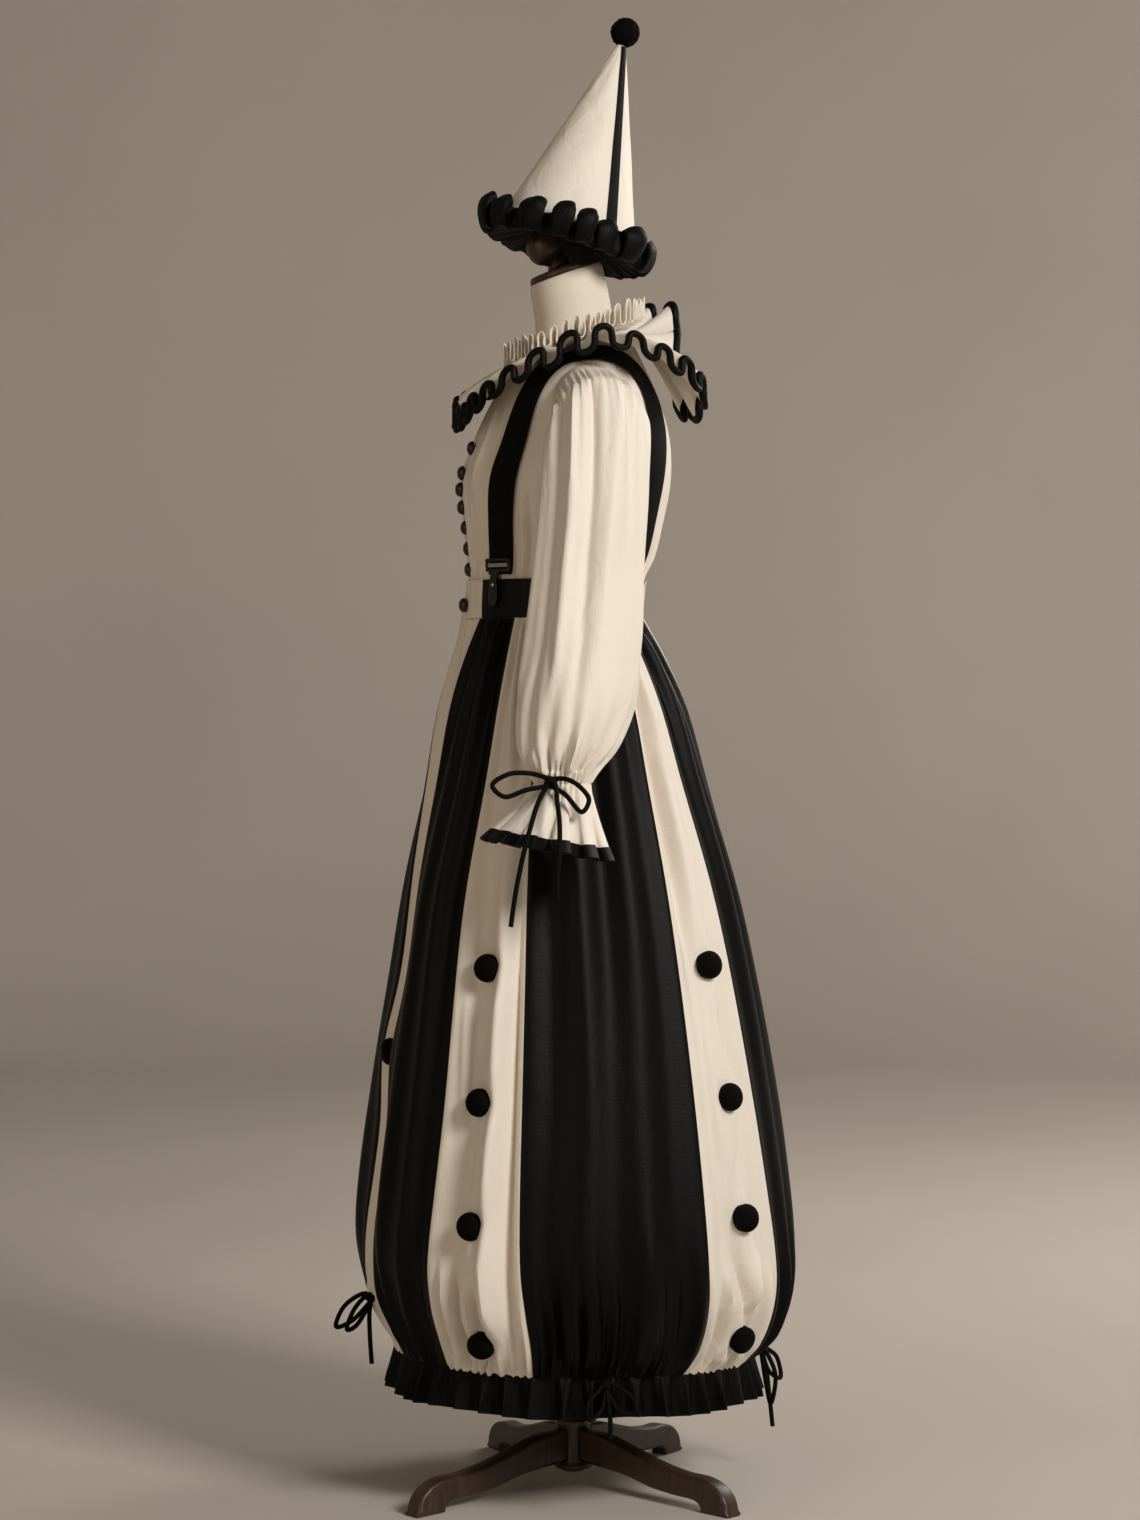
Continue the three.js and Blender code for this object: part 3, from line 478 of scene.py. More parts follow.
@dataclass(frozen=True)
class ClothFinish:
    """A woven or matted cloth."""

    name: str
    colour: str
    shade: str
    thread: Thread
    pitch: float
    relief: float
    roughness: float
    sheen: float
    sheen_colour: str
    crease: float = 0.0
    specular: float = 0.3

    def material(self) -> bpy.types.Material:
        """Make the material.

        Returns:
            The material.
        """
        material, tree, space = begin_material(self.name)
        where = space["Object"] if self.thread is Thread.FELT else space["UV"]
        tone = add_node(tree, "TexNoise", {"Vector": space["Object"], "Scale": 9.0, "Detail": 4.0})
        slub = add_node(tree, "Mapping", {"Vector": where, "Scale": (1.0, 0.06, 1.0)})
        slubs = add_node(tree, "TexNoise", {"Vector": slub.outputs[0], "Scale": 900.0, "Detail": 3.0})
        blend = add_node(tree, "Math", {0: tone.outputs[0], 1: slubs.outputs[0]}, operation="MULTIPLY_ADD")
        blend.inputs[2].default_value = 0.14
        colour = add_node(tree, "Mix", {0: blend.outputs[0], 6: linear(self.shade), 7: linear(self.colour)},
                          data_type="RGBA")
        weave = self._weave(tree, where)
        bump = add_node(tree, "Bump", {"Height": weave, "Strength": 0.5, "Distance": self.relief * MM})
        hang = add_node(tree, "Mapping", {"Vector": space["Object"], "Scale": (1.0, 1.0, 0.45)})
        crumple = add_node(tree, "TexNoise", {"Vector": hang.outputs[0], "Scale": 30.0, "Detail": 5.0,
                                              "Roughness": 0.5, "Distortion": 0.9})
        creased = add_node(tree, "Bump", {"Height": crumple.outputs[0], "Normal": bump.outputs[0],
                                          "Strength": 0.6, "Distance": self.crease * MM})
        shader = add_node(tree, "BsdfPrincipled", {
            "Base Color": colour.outputs[2], "Roughness": self.roughness, "Normal": creased.outputs[0],
            "Sheen Weight": self.sheen, "Sheen Roughness": 0.45, "Sheen Tint": linear(self.sheen_colour),
            "Specular IOR Level": self.specular,
        })
        add_node(tree, "OutputMaterial", {"Surface": shader.outputs[0]})
        return material

    def _weave(self, tree: bpy.types.NodeTree, where: bpy.types.NodeSocket) -> bpy.types.NodeSocket:
        """Add the height of the threads.

        Args:
            tree: The node tree.
            where: The coordinates the threads follow, in metres.

        Returns:
            The socket with the height.
        """
        if self.thread is Thread.FELT:
            pile = add_node(tree, "TexNoise", {"Vector": where, "Scale": 1 / (self.pitch * MM),
                                               "Detail": 4.0, "Roughness": 0.7})
            return pile.outputs[0]
        waves = {"Vector": where, "Scale": math.pi / 10 / (self.pitch * MM), "Distortion": 0.4,
                 "Detail Scale": 2.0}
        warp = add_node(tree, "TexWave", waves, bands_direction="X")
        if self.thread is Thread.RIBBED:
            return warp.outputs[1]
        weft = add_node(tree, "TexWave", waves, bands_direction="Y")
        both = add_node(tree, "Math", {0: warp.outputs[1], 1: weft.outputs[1]}, operation="MULTIPLY")
        return both.outputs[0]


@dataclass(frozen=True)
class WoodFinish:
    """Turned and varnished wood."""

    name: str
    light: str
    dark: str
    ring: float
    roughness: float

    def material(self) -> bpy.types.Material:
        """Make the material.

        Returns:
            The material.
        """
        material, tree, space = begin_material(self.name)
        along = add_node(tree, "Mapping", {"Vector": space["Object"], "Scale": (1.0, 1.0, 0.07),
                                           "Location": (0.02, 0.031, 0.0)})
        rings = add_node(tree, "TexNoise", {"Vector": along.outputs[0], "Scale": 1 / (self.ring * MM),
                                            "Detail": 6.0, "Roughness": 0.62, "Distortion": 0.8})
        pores = add_node(tree, "TexNoise", {"Vector": along.outputs[0], "Scale": 1600.0, "Detail": 2.0})
        grain = add_node(tree, "ValToRGB", {"Fac": rings.outputs[0]})
        grain.color_ramp.elements[0].position = 0.32
        grain.color_ramp.elements[0].color = linear(self.dark)
        grain.color_ramp.elements[1].position = 0.72
        grain.color_ramp.elements[1].color = linear(self.light)
        bump = add_node(tree, "Bump", {"Height": pores.outputs[0], "Strength": 0.25, "Distance": 0.2 * MM})
        shader = add_node(tree, "BsdfPrincipled", {
            "Base Color": grain.outputs[0], "Roughness": self.roughness, "Normal": bump.outputs[0],
            "Coat Weight": 0.08, "Coat Roughness": 0.35,
        })
        add_node(tree, "OutputMaterial", {"Surface": shader.outputs[0]})
        return material


@dataclass(frozen=True)
class HardFinish:
    """Plated metal or moulded plastic, with fine wear in its gloss."""

    name: str
    colour: str
    metallic: float
    roughness: float
    grit: float

    def material(self) -> bpy.types.Material:
        """Make the material.

        Returns:
            The material.
        """
        material, tree, space = begin_material(self.name)
        wear = add_node(tree, "TexNoise", {"Vector": space["Object"], "Scale": 1 / (self.grit * MM),
                                           "Detail": 3.0})
        gloss = add_node(tree, "MapRange", {"Value": wear.outputs[0], 3: self.roughness * 0.75,
                                            4: self.roughness * 1.3})
        bump = add_node(tree, "Bump", {"Height": wear.outputs[0], "Strength": 0.1, "Distance": 0.1 * MM})
        shader = add_node(tree, "BsdfPrincipled", {
            "Base Color": linear(self.colour), "Metallic": self.metallic, "Roughness": gloss.outputs[0],
            "Normal": bump.outputs[0],
        })
        add_node(tree, "OutputMaterial", {"Surface": shader.outputs[0]})
        return material


@dataclass
class Finishes:
    """Every finish on the costume, made once and handed to the pieces."""

    made: dict[str, bpy.types.Material] = field(default_factory=dict)

    # Cotton sateen in ivory, pressed: a soft glow on the folds. Threads lie 0.35 mm apart, drawn at 1.6 mm.
    cream: ClothFinish = ClothFinish(
        "ivory_cotton_sateen", "#EAE2D7", "#DFD5C6", Thread.PLAIN, pitch=1.6, relief=0.25, roughness=0.56,
        sheen=0.08, sheen_colour="#FFF8EC", crease=4.0)
    # The same sateen dyed black: grey gloss where a fold turns to the light.
    black: ClothFinish = ClothFinish(
        "black_cotton_sateen", "#060505", "#030303", Thread.PLAIN, pitch=1.6, relief=0.25, roughness=0.44,
        sheen=0.0, sheen_colour="#8F8B88", crease=1.6, specular=0.13)
    # Black bias binding and gathered trim: duller, with a rib that breaks the light.
    trim: ClothFinish = ClothFinish(
        "black_ribbed_binding", "#070606", "#040404", Thread.RIBBED, pitch=1.8, relief=0.4, roughness=0.55,
        sheen=0.0, sheen_colour="#7A7673", specular=0.12)
    # Elastic webbing: flat and matt, ribbed along its length.
    webbing: ClothFinish = ClothFinish(
        "black_elastic_webbing", "#090909", "#050505", Thread.RIBBED, pitch=1.4, relief=0.3, roughness=0.7,
        sheen=0.0, sheen_colour="#6A6866", specular=0.1)
    # Wool felt over a stuffed dome: no gloss at all. Its pile is 0.1 mm, drawn at 0.8 mm to show.
    felt: ClothFinish = ClothFinish(
        "black_wool_felt", "#070606", "#040404", Thread.FELT, pitch=0.8, relief=0.35, roughness=0.85,
        sheen=0.01, sheen_colour="#6E6A68", specular=0.08)
    # Twisted cotton cord dyed black: matt, with a fine relief.
    cord: ClothFinish = ClothFinish(
        "black_cotton_cord", "#080707", "#050404", Thread.FELT, pitch=1.2, relief=0.5, roughness=0.7,
        sheen=0.0, sheen_colour="#6E6A68", specular=0.1)
    # Unbleached linen canvas glued over the form: matt, with its threads 1.5 mm apart.
    linen: ClothFinish = ClothFinish(
        "unbleached_linen", "#E2DACC", "#D6CBB9", Thread.PLAIN, pitch=1.5, relief=0.35, roughness=0.8,
        sheen=0.08, sheen_colour="#FFF8EC", crease=0.3)
    # Walnut, turned and varnished: dark brown with a soft highlight.
    walnut: WoodFinish = WoodFinish("varnished_walnut", "#4A3324", "#25180F", ring=6.0, roughness=0.42)
    # Nickel plate on stamped steel: bright, with a soft edge to its highlights.
    nickel: HardFinish = HardFinish("nickel_plated_steel", "#B9B9B4", metallic=1.0, roughness=0.28, grit=0.6)
    # Lacquered steel of the slider's frame, and moulded buttons: black with a small bright highlight.
    lacquer: HardFinish = HardFinish(
        "black_lacquered_steel", "#0E0D0D", metallic=0.0, roughness=0.35, grit=0.6)
    button: HardFinish = HardFinish("moulded_black_button", "#160B0B", metallic=0.0, roughness=0.32, grit=0.8)

    def give(self, piece: bpy.types.Object, finish: ClothFinish | WoodFinish | HardFinish) -> None:
        """Dress a piece, whatever slots it has.

        Args:
            piece: The piece or CAD node.
            finish: Its finish.
        """
        if finish.name not in self.made:
            self.made[finish.name] = finish.material()
        if not piece.material_slots:
            piece.data.materials.append(None)
        for place in piece.material_slots:
            place.material = self.made[finish.name]


@dataclass
class Placing:
    """Where the costume stands: every point moves along Y, as the CAD is centred on its own depth."""

    shift: float

    def move(self, points: np.ndarray, side: int = 1) -> np.ndarray:
        """Return points of the costume's own left half, mirrored where side is -1, in the shared frame."""
        return np.asarray(points, float) * (side, 1, 1) + (0, self.shift, 0)


@dataclass
class Assembly:
    """A sub-assembly of the costume: where it stands, and the finishes for its pieces."""

    placing: Placing
    finishes: Finishes

    def dress(self, piece: bpy.types.Object, finish: ClothFinish | WoodFinish | HardFinish, slot: str,
              *nodes: str) -> bpy.types.Object:
        """Give a piece its finish, let it ride with the costume and stand for its CAD nodes.

        Args:
            piece: The piece.
            finish: Its finish.
            slot: Not used.
            nodes: The CAD nodes it replaces.

        Returns:
            The piece.
        """
        self.finishes.give(piece, finish)
        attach(piece, "root")
        if nodes:
            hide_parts(*nodes)
        return piece

    def dress_sateen(self, piece: bpy.types.Object, black: bool, node: str) -> None:
        """Dress a piece in sateen.

        Args:
            piece: The piece.
            black: Whether it is the black one.
            node: The CAD node it replaces.
        """
        if black:
            self.dress(piece, self.finishes.black, "black_cloth", node)
        else:
            self.dress(piece, self.finishes.cream, "cream_cloth", node)


# Studio

@dataclass
class Studio:
    """The camera at the photograph's angle, a seamless pale floor and soft light."""

    axis_y: float
    distance: float = 4.5
    azimuth: float = 78.4
    eye_height: float = 1.0135
    pitch: float = 0.927
    aside: float = 0.0039
    lens: float = 82.0

    def build(self) -> None:
        """Make the camera, the lights and the floor."""
        turn = math.radians(self.azimuth)
        toward = Vector((math.sin(turn), -math.cos(turn), 0))
        right = Vector((math.cos(turn), math.sin(turn), 0))
        axis = Vector((0, self.axis_y, 0))
        self._camera(axis, toward, right)
        up = Vector((0, 0, 1))
        middle = axis + 1.05 * up
        self._light("key", axis + 3.0 * toward + 2.4 * right + 2.9 * up, middle, 1.3, 152, "#FFFCF8")
        self._light("fill", axis + 3.2 * toward - 2.6 * right + 1.7 * up, middle, 2.6, 25, "#F8E8D2")
        self._light("rim", axis - 2.2 * toward + 2.2 * right + 2.6 * up, middle, 1.2, 40, "#FFFBF6")
        wall = axis - 6.0 * toward + 2.6 * right + 0.9 * up
        self._light("wall", axis - 1.6 * toward + 4.2 * right + 2.4 * up, wall, 2.6, 120, "#FFFCFA")
        self._floor()
        world = bpy.data.worlds.new("studio")
        bpy.context.scene.world = world
        world.use_nodes = True
        world.node_tree.nodes["Background"].inputs["Color"].default_value = linear("#DACFBF")
        world.node_tree.nodes["Background"].inputs["Strength"].default_value = 0.21
        bpy.context.scene.view_settings.view_transform = "Standard"

    def _camera(self, axis: Vector, toward: Vector, right: Vector) -> None:
        """Make the camera.

        Args:
            axis: A point of the post's axis at floor level.
            toward: The level direction from the post to the camera.
            right: The picture's own right.
        """
        data = bpy.data.cameras.new("view")
        data.lens = self.lens
        data.sensor_width = 36.0
        data.clip_end = 60.0
        camera = bpy.data.objects.new("view", data)
        bpy.context.scene.collection.objects.link(camera)
        camera.location = axis + self.distance * toward + Vector((0, 0, self.eye_height))
        aim = axis - self.aside * right + Vector((0, 0, self.eye_height))
        aim.z -= self.distance * math.tan(math.radians(self.pitch))
        camera.rotation_euler = (aim - camera.location).to_track_quat("-Z", "Y").to_euler()
        bpy.context.scene.camera = camera

    def _light(self, name: str, place: Vector, aim: Vector, size: float, power: float, colour: str) -> None:
        """Add one soft light.

        Args:
            name: Its name.
            place: Where it stands.
            aim: What it looks at.
            size: The side of its square, in metres.
            power: Its power in watts.
            colour: Its colour.
        """
        data = bpy.data.lights.new(name, "AREA")
        data.shape = "SQUARE"
        data.size = size
        data.energy = power
        data.color = linear(colour)[:3]
        light = bpy.data.objects.new(name, data)
        bpy.context.scene.collection.objects.link(light)
        light.location = place
        light.rotation_euler = (aim - place).to_track_quat("-Z", "Y").to_euler()

    def _floor(self) -> None:
        """Make a round floor that curves up into a wall, the same from every side."""
        cove = [(5200 + 1800 * math.sin(a), 1800 - 1800 * math.cos(a)) for a in np.linspace(0.1, 1.4, 14)]
        profile = np.array([(0, 0), (2500, 0), (5200, 0), *cove, (7000, 2600), (7000, 7000)], float)
        points, faces = turned(profile, 96)
        floor = new_mesh("studio_floor", points, faces, 180.0)
        floor.location.y = self.axis_y
        material = bpy.data.materials.new("painted_studio_floor")
        material.use_nodes = True
        tree = material.node_tree
        space = add_node(tree, "TexCoord").outputs["Object"]
        cloud = add_node(tree, "TexNoise", {"Vector": space, "Scale": 0.7, "Detail": 3.0})
        tone = add_node(tree, "Mix", {0: cloud.outputs[0], 6: linear("#B6ADA3"), 7: linear("#C8BFB5")},
                        data_type="RGBA")
        shader = tree.nodes["Principled BSDF"]
        tree.links.new(tone.outputs[2], shader.inputs["Base Color"])
        shader.inputs["Roughness"].default_value = 0.85
        floor.data.materials.append(material)


def turned(profile: np.ndarray, sides: int) -> tuple[np.ndarray, list]:
    """Turn an outline round the Z axis.

    Args:
        profile: Radius and height of each point; a radius of 0 closes the shape.
        sides: Steps in one turn.

    Returns:
        Points and faces.
    """
    points: list = []
    rings: list = []
    for radius, height in profile:
        if radius < 1e-6:
            rings.append([len(points)])
            points.append((0, 0, height))
            continue
        rings.append(list(range(len(points), len(points) + sides)))
        for k in range(sides):
            a = 2 * math.pi * k / sides
            points.append((radius * math.cos(a), radius * math.sin(a), height))
    faces: list = []
    for low, high in zip(rings, rings[1:]):
        for k in range(sides):
            n = (k + 1) % sides
            if len(low) == 1:
                faces.append((low[0], high[n], high[k]))
            elif len(high) == 1:
                faces.append((low[k], low[n], high[0]))
            else:
                faces.append((low[k], low[n], high[n], high[k]))
    return np.array(points, float), faces


def rounded(profile: Sequence[Sequence[float]]) -> np.ndarray:
    """Round an outline with a smooth curve through its points.

    Args:
        profile: Radius and height of each point.

    Returns:
        The outline, with four steps between two points.
    """
    table = Table([(i, *p) for i, p in enumerate(profile)])
    line = table(np.linspace(0, len(profile) - 1, (len(profile) - 1) * 4 + 1))
    line[:, 0] = np.maximum(line[:, 0], 0)
    return line


def joined(*parts: tuple[np.ndarray, list]) -> tuple[np.ndarray, list]:
    """Join meshes into one list of points and faces.

    Args:
        parts: Points and faces of each.

    Returns:
        Points and faces of all.
    """
    points: list = []
    faces: list = []
    for some, quads in parts:
        start = len(points)
        points.extend(np.asarray(some).tolist())
        faces.extend([tuple(int(i) + start for i in quad) for quad in quads])
    return np.array(points), faces


def standing(points: np.ndarray, place: np.ndarray, direction: np.ndarray) -> np.ndarray:
    """Turn points that stand along Z to another direction, and move them.

    Args:
        points: The points.
        place: Where their origin goes.
        direction: The way that Z goes.

    Returns:
        The placed points.
    """
    turn = np.array(Vector((0, 0, 1)).rotation_difference(Vector(direction)).to_matrix())
    return points @ turn.T + place


# Cord bows

def smooth_line(points: Sequence[Sequence[float]], step: float = 2.5) -> np.ndarray:
    """A centripetal curve through points, as the CAD's cords follow.

    Args:
        points: The points.
        step: Distance between the points of the result.

    Returns:
        The finer line.
    """
    p = np.array(points, float)
    p = np.concatenate([[2 * p[0] - p[1]], p, [2 * p[-1] - p[-2]]])
    line = [p[1]]
    for a, b, c, d in zip(p, p[1:], p[2:], p[3:]):
        t0 = 0.0
        t1 = t0 + np.linalg.norm(b - a) ** 0.5
        t2 = t1 + np.linalg.norm(c - b) ** 0.5
        t3 = t2 + np.linalg.norm(d - c) ** 0.5
        for t in np.linspace(t1, t2, max(3, int(np.linalg.norm(c - b) / step)) + 1)[1:]:
            e = a + (b - a) * (t - t0) / (t1 - t0)
            f = b + (c - b) * (t - t1) / (t2 - t1)
            g = c + (d - c) * (t - t2) / (t3 - t2)
            h = e + (f - e) * (t - t0) / (t2 - t0)
            i = f + (g - f) * (t - t1) / (t3 - t1)
            line.append(h + (i - h) * (t - t1) / (t2 - t1))
    return np.array(line)


@dataclass
class Bow(Assembly):
    """A bow of round cotton cord: two loops and its tails, each leaving the knot."""

    name: str
    loops: list
    tails: list
    place: Callable[[np.ndarray], np.ndarray]
    diameter: float = 6.0
    knot: float = 8.0

    def build(self) -> None:
        """Make the cords and the knot, and dress them."""
        knot = self._knot()
        self.dress(knot, self.finishes.cord, "black_cord", self.name)
        exit_point = self.place(np.zeros((1, 3)))[0] * MM
        for kind, lines in (("loop", self.loops), ("tail", self.tails)):
            for number, points in enumerate(lines, 1):
                ends = [[0, 0, 4], *points, [0, 0, -4]] if kind == "loop" else [[0, 0, 0], *points]
                line = self.place(smooth_line(ends))
                piece = self._tube(f"{self.name}_{kind}_{number}", line)
                self.dress(piece, self.finishes.cord, "black_cord")

    def _tube(self, name: str, line: np.ndarray) -> bpy.types.Object:
        """Make one cord.

        Args:
            name: Its name.
            line: Its centreline in millimetres.

        Returns:
            The piece.
        """
        curve = bpy.data.curves.new(name, "CURVE")
        curve.dimensions = "3D"
        curve.bevel_depth = self.diameter / 2 * MM
        curve.bevel_resolution = 4
        curve.use_fill_caps = True
        spline = curve.splines.new("POLY")
        spline.points.add(len(line) - 1)
        spline.points.foreach_set("co", np.concatenate([line * MM, np.ones((len(line), 1))], 1).reshape(-1))
        spline.use_smooth = True
        piece = bpy.data.objects.new(name, curve)
        bpy.context.scene.collection.objects.link(piece)
        return piece

    def _knot(self) -> bpy.types.Object:
        """Make the knot: two turns of cord drawn into a ball.

        Returns:
            The piece.
        """
        angle = np.linspace(0, 2 * np.pi, 33)[:-1][None, :]
        rise = np.linspace(-1, 1, 17)[:, None]
        wrap = 1 + 0.16 * np.abs(np.sin(2.5 * np.pi * rise * 0.5 + 0.8 * np.sin(angle)))
        radius = self.knot * np.sqrt(np.maximum(1 - rise ** 2, 0.02)) * wrap
        grid = stacked(radius * np.cos(angle), radius * np.sin(angle) * 0.95, rise * self.knot * 0.95)
        points, faces = capped(grid)
        return new_mesh(self.name + "_knot", self.place(points), faces, 60.0)


@dataclass
class CordBows(Assembly):
    """The wrist bows and the hem bows, on the points that the CAD's cords follow."""

    wrist_knot: tuple = (312.0, -91.4, 919.0)
    wrist_loops: tuple = (
        ((5, -27, 11), (9, -54, 10), (7, -73, -3), (4, -58, -17), (2, -30, -9)),
        ((10, 17, 4), (24, 32, -6), (34, 40, -21), (36, 31, -35), (22, 14, -15)),
    )
    wrist_tails: tuple = (
        ((12, -8, -6), (36, -22, -22), (56, -34, -46), (64, -46, -85), (62, -54, -125), (58, -60, -170)),
        ((20, 2, -3), (48, -2, -20), (74, -4, -48), (82, -6, -80), (80, -8, -110), (78, -8, -138)),
    )
    side_loops: tuple = (
        ((6, 12, -2), (12, 30, -14), (13, 34, -34), (8, 14, -30)),
        ((7, -10, -6), (14, -24, -20), (15, -24, -40), (8, -8, -32)),
    )
    side_tails: tuple = (((6, 2, -22), (10, 4, -46), (9, 4, -66)),)

    def build(self) -> None:
        """Make all six bows."""
        for name, side in SIDES:
            Bow(self.placing, self.finishes, f"wrist_bow_{name}", list(self.wrist_loops),
                list(self.wrist_tails), lambda p, s=side: self._at_wrist(p, s)).build()
        hem = [
            ("front", 90, 270.4, 250,
             [[(10, 14, 4), (28, 28, -12), (36, 26, -36), (22, 12, -34)],
              [(12, -12, 2), (34, -22, -16), (44, -18, -40), (26, -8, -32)]],
             [[(4, 6, -18), (4, 10, -50), (2, 12, -84)]]),
            ("left", 2.5, 244.2, 174, list(self.side_loops), list(self.side_tails)),
            ("right", 177.5, 246.2, 174, list(self.side_loops), list(self.side_tails)),
            ("back", -90, 251, 165,
             [[(12, 14, -4), (28, 24, -18), (32, 20, -44), (14, 8, -34)],
              [(8, -10, -10), (14, -22, -34), (8, -20, -70), (6, -6, -50)]],
             [[(8, 6, -24), (14, 10, -64), (18, 8, -106)]]),
        ]
        for name, angle, radius, level, loops, tails in hem:
            Bow(self.placing, self.finishes, f"hem_bow_{name}", loops, tails,
                self._at_hem(angle, radius, level)).build()

    def _at_wrist(self, points: np.ndarray, side: int) -> np.ndarray:
        """Place a wrist bow. The right one is the left one turned half round the wrist.

        Args:
            points: Points from the wrist's knot.
            side: 1 for the left, -1 for the right.

        Returns:
            The points in the shared frame.
        """
        points = points + np.array(self.wrist_knot)
        if side < 0:
            points = points * (-1, -1, 1) + (2.3, 2 * WRIST[1] - 1.6, 0)
        return self.placing.move(points)

    def _at_hem(self, angle: float, radius: float, level: float) -> Callable[[np.ndarray], np.ndarray]:
        """Find how to place a hem bow.

        Args:
            angle: Body angle of its knot.
            radius: The knot's distance from the skirt's middle.
            level: The knot's level.

        Returns:
            What places points that are given as out from the skirt, along it and up.
        """
        turn = math.radians(-angle)
        matrix = np.array(Matrix.Rotation(turn, 3, "Z"))
        middle = np.array((0, float(SKIRT(max(level, HEM_LEVEL))[0]), 0))

        def place(points: np.ndarray) -> np.ndarray:
            """Return the points in the shared frame."""
            return self.placing.move((points + (radius, 0, level)) @ matrix.T + middle)

        return place


# Skirt

SIDES = (("left", 1), ("right", -1))

# Sections of the balloon skirt by level: middle, half width, half depth, depth of gathers, depth of the
# front fold
SKIRT = Table([
    [181, 2, 235, 232, 2, 2],
    [215, 7, 254, 253, 6, 8],
    [265, 5, 275, 275, 6, 13],
    [320, 0, 284, 284, 5, 20],
    [400, -2, 279, 279, 4, 26],
    [520, -3, 263, 263, 3.5, 28],
    [660, -5, 240, 240, 3.5, 26],
    [785, -8, 217, 216, 3.5, 23],
    [915, -12, 190, 183, 3.5, 19],
    [1010, -16, 172, 159, 4, 14],
    [1075, -21, 153, 134, 4, 7],
    [1122, -25, 134, 113, 2.5, 0],
])
# Seams of the panels by level, as body angles of the left half
SEAMS = Table([
    [181, 24.5, 54, 82, -24, -54, -82],
    [350, 24.5, 49.5, 82, -24, -50, -82],
    [500, 24.5, 47.5, 82, -23.7, -48, -82],
    [760, 24.5, 46.6, 81, -23, -45, -81],
    [1020, 24.5, 41, 74, -22, -38, -74],
    [1122, 24.5, 38.6, 68.4, -22, -36, -68],
])
SIDE_FRONT, QUARTER_FRONT, FRONT, SIDE_BACK, QUARTER_BACK, BACK = range(6)
SKIRT_TOP = 1122.2
DOT_LEVELS = (223, 372, 522, 686)


@dataclass(frozen=True)
class Panel:
    """One gathered panel of the skirt, between two seams of the left half, with its folds."""

    node: str
    start: int
    stop: int
    gathers: int
    black: bool
    seed: int
    folds: tuple[Fold, ...] = ()
    dots: bool = False
    centre: bool = False


# Folds run from (across, level) to (across, level); across is 0 at the start seam and 1 at the stop seam
FRONT_DOTTED = (
    Fold((0.24, 1010), (0.36, 175), 19, 14, 12, 0.3, 0.12),
    Fold((0.06, 900), (0.12, 200), -9, 9, 10, 0.4, 0.2),
    Fold((0.40, 620), (0.52, 240), 5, 5, 6, 0.4, 0.3, 0.02),
    Fold((0.62, 900), (0.62, 330), -6, 18, 16, 0.3, 0.3),
    Fold((0.84, 700), (0.72, 430), 5, 7, 7, 0.4, 0.5),
    Fold((0.88, 360), (0.76, 186), 7, 8, 8, 0.5, 0.1),
    Fold((0.24, 380), (0.20, 184), 6, 6, 6, 0.5, 0.1),
    Fold((0.46, 320), (0.50, 184), -6, 6, 6, 0.5, 0.1),
    Fold((0.60, 190), (0.64, 330), 5, 6, 6, 0.1, 0.6),
    Fold((0.34, 1120), (0.26, 860), -6, 8, 8, 0.05, 0.6),
    Fold((0.62, 1120), (0.55, 900), 6, 8, 8, 0.05, 0.6),
    Fold((0.80, 1120), (0.82, 980), -5, 6, 6, 0.05, 0.6),
)
BACK_DOTTED = (
    Fold((0.30, 1120), (0.20, 560), -8, 9, 12, 0.05, 0.5),
    Fold((0.62, 1120), (0.78, 740), 6, 8, 9, 0.05, 0.5),
    Fold((0.44, 1000), (0.42, 720), 6, 8, 8, 0.3, 0.5),
    Fold((0.58, 660), (0.84, 500), -6, 10, 8, 0.5, 0.5),
    Fold((0.34, 660), (0.30, 380), 6, 8, 10, 0.5, 0.4),
    Fold((0.70, 500), (0.34, 340), -6, 8, 8, 0.5, 0.4),
    Fold((0.30, 380), (0.62, 205), -9, 7, 7, 0.3, 0.2),
    Fold((0.74, 350), (0.50, 240), 7, 7, 7, 0.4, 0.3),
    Fold((0.20, 340), (0.34, 184), 9, 7, 7, 0.5, 0.1),
    Fold((0.86, 320), (0.74, 184), 7, 8, 8, 0.5, 0.1),
    Fold((0.52, 300), (0.46, 184), 6, 5, 5, 0.6, 0.1),
)
SIDE_BLACK = (
    Fold((0.26, 1120), (0.20, 420), 5, 16, 26, 0.05, 0.5),
    Fold((0.44, 1040), (0.42, 520), -5, 18, 18, 0.3, 0.5),
    Fold((0.66, 1120), (0.58, 330), 5, 22, 16, 0.05, 0.4),
    Fold((0.84, 900), (0.80, 380), -3.5, 16, 16, 0.4, 0.4),
    Fold((0.36, 420), (0.30, 185), 5, 16, 14, 0.5, 0.1),
    Fold((0.74, 400), (0.78, 185), 5, 14, 16, 0.5, 0.1),
)
FRONT_BLACK = (
    Fold((0.34, 1120), (0.30, 480), 4, 16, 22, 0.05, 0.5),
    Fold((0.62, 1120), (0.66, 380), -4, 18, 18, 0.05, 0.4),
    Fold((0.52, 420), (0.46, 185), 5, 16, 14, 0.5, 0.1),
)
BACK_BLACK = (
    Fold((0.30, 1120), (0.22, 380), 5, 14, 20, 0.05, 0.4),
    Fold((0.58, 1120), (0.52, 460), -5, 14, 18, 0.05, 0.5),
    Fold((0.80, 1000), (0.76, 300), 4, 16, 16, 0.4, 0.3),
    Fold((0.40, 400), (0.48, 185), -4, 14, 14, 0.5, 0.1),
)
BACK_CREAM = (
    Fold((0.28, 1120), (0.34, 520), 3, 12, 14, 0.05, 0.5),
    Fold((0.70, 900), (0.64, 330), -3, 14, 12, 0.4, 0.4),
)

